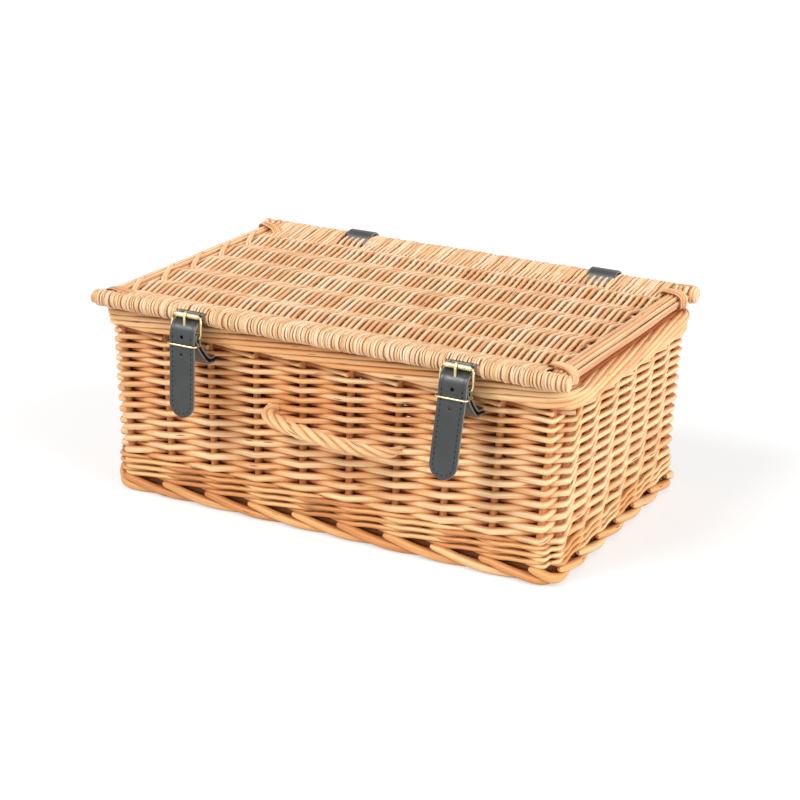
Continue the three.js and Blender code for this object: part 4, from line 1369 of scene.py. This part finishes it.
hinge_thick = 2.2 * MM
rail_gap = 0.4 * MM
border_gap = 0.3 * MM
border_ease = 5.0 * MM
border_low, border_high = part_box("top_border_rear")
border_corners = [(border_high.y, border_low.z), (border_low.y, border_low.z),
                  (border_low.y, border_high.z - border_ease), (border_low.y + border_ease, border_high.z)]
rear_rail = Vector((rail_middle["rear"].y, rail_middle["rear"].z))
for end in ("left", "right"):
    low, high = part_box(f"hinge_loop_{end}")
    spots = []
    for step in range(24):
        angle = 2 * math.pi * step / 24
        way = Vector((math.cos(angle), math.sin(angle)))
        spots.append(rear_rail + way * (rail_radius + rail_gap + hinge_thick / 2))
        spots.extend(Vector(corner) + way * (border_gap + hinge_thick / 2) for corner in border_corners)
    route = hull(spots)
    route = even_route([*route, route[0]], band_step)[:-1]
    loop = leather_band(f"hinge_band_{end}", route, (low.x + high.x) / 2, high.x - low.x, hinge_thick,
                        loop_leather, closed=True)
    settle(loop, "basket", "leather", f"hinge_loop_{end}")

# %% [markdown]
# ## Brass
# The buckles are pale brass wire with a soft polish. Metal takes its look from what it reflects, so
# the finish is a metallic shader with fine scratches and a slight change of colour where fingers
# have dulled it.

# %% Brass finish
brass, tree, shader = new_material("pale_brass")
place = object_place()
dull = noise(place, 180.0, 4.0)
scratch = noise(place, 1600.0, 2.0)
bump = add("ShaderNodeBump", {"Height": scratch, "Strength": 0.08, "Distance": 0.1 * MM})
metal = mix(span(dull, 0.4, 0.7), linear(240, 224, 180), linear(206, 181, 126))
tree.links.new(metal, shader["Base Color"])
tree.links.new(span(dull, 0.35, 0.7, 0.2, 0.38), shader["Roughness"])
tree.links.new(bump, shader["Normal"])
shader["Metallic"].default_value = 1.0
print("finish", brass.name)

# %% [markdown]
# ## Buckles
# A buckle is a rounded oblong of wire with a roller on its end bar and a prong that turns on its heel
# bar. The keeper is a second, thinner wire loop. Wire is a path with a round section, so the rod
# sweep makes all of it, with brass in place of willow.

# %% Wire loops
def wire_loop(middle, way, half, low, high, corner, steps=5):
    """A rounded oblong of wire, from low to high along a way, that closes over its start."""
    places = [(0.0, low)]
    for turn, x, y in ((-90, half - corner, low + corner), (0, half - corner, high - corner),
                       (90, -half + corner, high - corner), (180, -half + corner, low + corner)):
        for step in range(steps + 1):
            angle = math.radians(turn + 90 * step / steps)
            places.append((x + corner * math.cos(angle), y + corner * math.sin(angle)))
    places.append(places[0])
    return [middle + sideways * x + way * y for x, y in places]


def wire_piece(name, path, radii, **section):
    """A piece of brass wire."""
    return rods_piece(name, [(path, radii, 0.5)], brass, **section)


wire_radius = 1.1 * MM
wire_corner = 3.2 * MM
keeper_radius = 0.8 * MM
keeper_corner = 2.6 * MM
sideways = Vector((1, 0, 0))
for end, closure in closures.items():
    heel = joint_place[f"buckle_{end}_swing"]
    reach = joint_place[f"roller_{end}_spin"] - heel
    low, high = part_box(f"buckle_frame_{end}")
    half = (high.x - low.x) / 2 - wire_radius
    loop = wire_loop(heel, reach.normalized(), half, 0.0, reach.length, wire_corner)
    buckle = wire_piece(f"buckle_wire_{end}", loop, [wire_radius] * len(loop), sides=12, bend_steps=2)
    settle(buckle, f"buckle_{end}", "brass", f"buckle_frame_{end}")
    low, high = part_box(f"strap_keeper_{end}")
    half = (high.x - low.x) / 2 - keeper_radius
    middle = Vector((closure["x"], 0, (low.z + high.z) / 2))
    loop = wire_loop(middle, Vector((0, 1, 0)), half, low.y + keeper_radius, high.y - keeper_radius,
                     keeper_corner)
    keeper = wire_piece(f"keeper_wire_{end}", loop, [keeper_radius] * len(loop), sides=10, bend_steps=2)
    settle(keeper, f"keeper_{end}", "brass", f"strap_keeper_{end}")

# %% Rollers and prongs
roller_course = ((-1.0, 0.80), (-0.985, 0.97), (-0.95, 1.0), (-0.93, 0.96), (-0.4, 0.96), (0.4, 0.96),
                 (0.93, 0.96), (0.95, 1.0), (0.985, 0.97), (1.0, 0.80))
prong_radius = 1.25 * MM
prong_tip = 0.9 * MM
prong_ring = 2.2 * MM


def turned_from(middle, turn, reach):
    """A point round a bar: 0 degrees is in front of it, and 90 above it."""
    angle = math.radians(turn)
    return middle + Vector((0, -math.cos(angle), math.sin(angle))) * reach


for end in closures:
    roller = joint_place[f"roller_{end}_spin"]
    heel = joint_place[f"buckle_{end}_swing"]
    low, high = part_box(f"buckle_roller_{end}")
    radius = (high.z - low.z) / 2
    half = (high.x - low.x) / 2
    path = [roller + sideways * half * share for share, swell in roller_course]
    tube = wire_piece(f"roller_tube_{end}", path, [radius * swell for share, swell in roller_course],
                      sides=20, bend_steps=2)
    settle(tube, f"roller_{end}", "brass", f"buckle_roller_{end}")
    reach = radius + 1.4 * MM
    path = [turned_from(heel, turn, prong_ring) for turn in range(-150, 61, 30)]
    path.append(Vector((heel.x, roller.y - reach, heel.z + 6 * MM)))
    path.append(Vector((heel.x, roller.y - reach, roller.z - 5 * MM)))
    path.extend(turned_from(roller, turn, reach) for turn in (0, 24, 48, 72))
    radii = [prong_radius] * (len(path) - 1) + [prong_tip]
    prong = wire_piece(f"prong_wire_{end}", path, radii, sides=12, bend_steps=4, flatness=0.85)
    settle(prong, f"prong_{end}", "brass", f"buckle_prong_{end}")

# %% [markdown]
# ## Rope handle
# The handle is four willow strands laid round each other, with both ends tucked through the wall.
# Each strand is a spiral about the handle's bow: at every step it turns a little further round, and
# the tree below makes that turn from the distance along the bow. The rope gets thinner towards its
# right end, and shade is painted dark into the grooves, which lie nearer to the bow than the strands' backs.

# %% Rope tree
rope_lay, given, result = new_group(
    "GeometryNodeTree", "rope_lay",
    [("Bow", "Geometry", None), ("Strands", "Int", 3), ("Lay length", "Float", 0.06),
     ("Lay radius", "Float", 3.2 * MM), ("Strand radius", "Float", 3.2 * MM), ("Sides", "Int", 10),
     ("Seed", "Int", 3), ("Finish", "Material", None)],
    shape_result)
tree = rope_lay


def scaled(vector, factor):
    """A vector made longer or shorter."""
    return add("ShaderNodeVectorMath", {0: vector, "Scale": factor}, operation="SCALE")


line = add("GeometryNodeMeshToCurve", {"Mesh": given["Bow"]})
line = add("GeometryNodeCurveSplineType", {"Curve": line}, spline_type="CATMULL_ROM")
line = add("GeometryNodeResampleCurve", {"Curve": line, "Length": 2.5 * MM}, mode="LENGTH")
line = add("GeometryNodeSetCurveNormal", {"Curve": line}, mode="Z_UP")
copies = put(tree, "GeometryNodeDuplicateElements", {"Geometry": line, "Amount": given["Strands"]},
             domain="SPLINE").outputs
line = store(copies[0], "strand", copies["Duplicate Index"], "INT")
way = put(tree, "GeometryNodeSplineParameter").outputs
strand_share = calc("DIVIDE", named("strand", "INT"), given["Strands"])
turns = calc("ADD", calc("DIVIDE", way["Length"], given["Lay length"]), strand_share)
angle = calc("MULTIPLY", turns, 2 * math.pi)
normal = add("GeometryNodeInputNormal")
other = vector_calc("CROSS_PRODUCT", add("GeometryNodeInputTangent"), normal)
spiral = vector_calc("ADD", scaled(normal, calc("COSINE", angle)), scaled(other, calc("SINE", angle)))
line = store(line, "taper", span(way["Factor"], 0.7, 0.94, 1.0, 0.6))
line = store(line, "bow_point", add("GeometryNodeInputPosition"), "FLOAT_VECTOR")
lay = calc("MULTIPLY", given["Lay radius"], named("taper"))
line = add("GeometryNodeSetPosition", {"Geometry": line, "Offset": scaled(spiral, lay)})
tones = put(tree, "FunctionNodeRandomValue",
            {2: 0.35, 3: 0.8, "ID": named("strand", "INT"), "Seed": given["Seed"]}, data_type="FLOAT")
line = store(line, "rod_tone", tones.outputs[1])
swept = sweep(line, calc("MULTIPLY", given["Strand radius"], named("taper")))
swept = keep_grain(swept, calc("MULTIPLY", named("rod_tone"), 9.0))
# The tone falls below zero where the surface lies near the bow, which paints shade in the grooves.
from_bow = put(tree, "ShaderNodeVectorMath", {0: add("GeometryNodeInputPosition"),
                                              1: named("bow_point", "FLOAT_VECTOR")}, operation="DISTANCE")
rope_radius = calc("ADD", given["Lay radius"], given["Strand radius"])
reach = calc("DIVIDE", calc("DIVIDE", from_bow.outputs["Value"], named("taper")), rope_radius)
dress(store(swept, "rod_tone", calc("ADD", named("rod_tone"), span(reach, 0.6, 0.92, -0.7, 0.0))))

# %% Rope handle
handle_low, handle_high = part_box("rope_handle")
handle_level = (handle_low.z + handle_high.z) / 2
handle_radius = 6.75 * MM
handle_line = next(Vector(joint["axis"]) for joint in frame["joints"] if joint["name"] == "handle_swing")
handle_wall = wall_half(handle_level)[1]
handle_middle = (handle_low.x + handle_high.x) / 2
handle_half = (handle_high.x - handle_low.x) / 2 - handle_radius
handle_reach = -handle_low.y - handle_wall - handle_radius
fullness = 2.6
bow = [Vector((handle_middle - handle_half, handle_high.y, 0))]
for step in range(19):
    angle = math.pi * step / 18
    along = math.copysign(abs(math.cos(angle)) ** (2 / fullness), math.cos(angle))
    out = abs(math.sin(angle)) ** (2 / fullness)
    bow.append(Vector((handle_middle - handle_half * along, -handle_wall - handle_reach * out, 0)))
bow.append(Vector((handle_middle + handle_half, handle_high.y, 0)))
for point in bow:
    point.z = handle_level + (point.x - handle_middle) * handle_line.z / handle_line.x
guide = guide_lines("handle_rope", [(bow, [handle_radius] * len(bow), 0.5)])
rope = grow("handle_rope", guide, rope_lay, Strands=4, Lay_length=0.056, Lay_radius=3.7 * MM,
            Strand_radius=2.8 * MM, Finish=rope_willow)
settle(rope, "handle", "willow", "rope_handle")

# %% [markdown]
# ## Anchor pegs
# Inside the wall a short peg holds each buckle strap. It is a piece of the same willow, with its ends
# eased, so the rod sweep makes it too.

# %% Anchor pegs
peg_course = ((0, 0.85), (0.1, 1), (0.5, 1), (0.9, 1), (1, 0.85))
peg_rods = []
for end in closures:
    low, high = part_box(f"anchor_peg_{end}")
    radius = (high.z - low.z) / 2
    path = straight_path(low, high, [share for share, swell in peg_course])
    peg_rods.append((path, [radius * swell for share, swell in peg_course], 0.6))
pegs = rods_piece("anchor_pegs", peg_rods, wall_willow, sides=12, bend_steps=2)
settle(pegs, "basket", "willow", "anchor_peg_left", "anchor_peg_right")
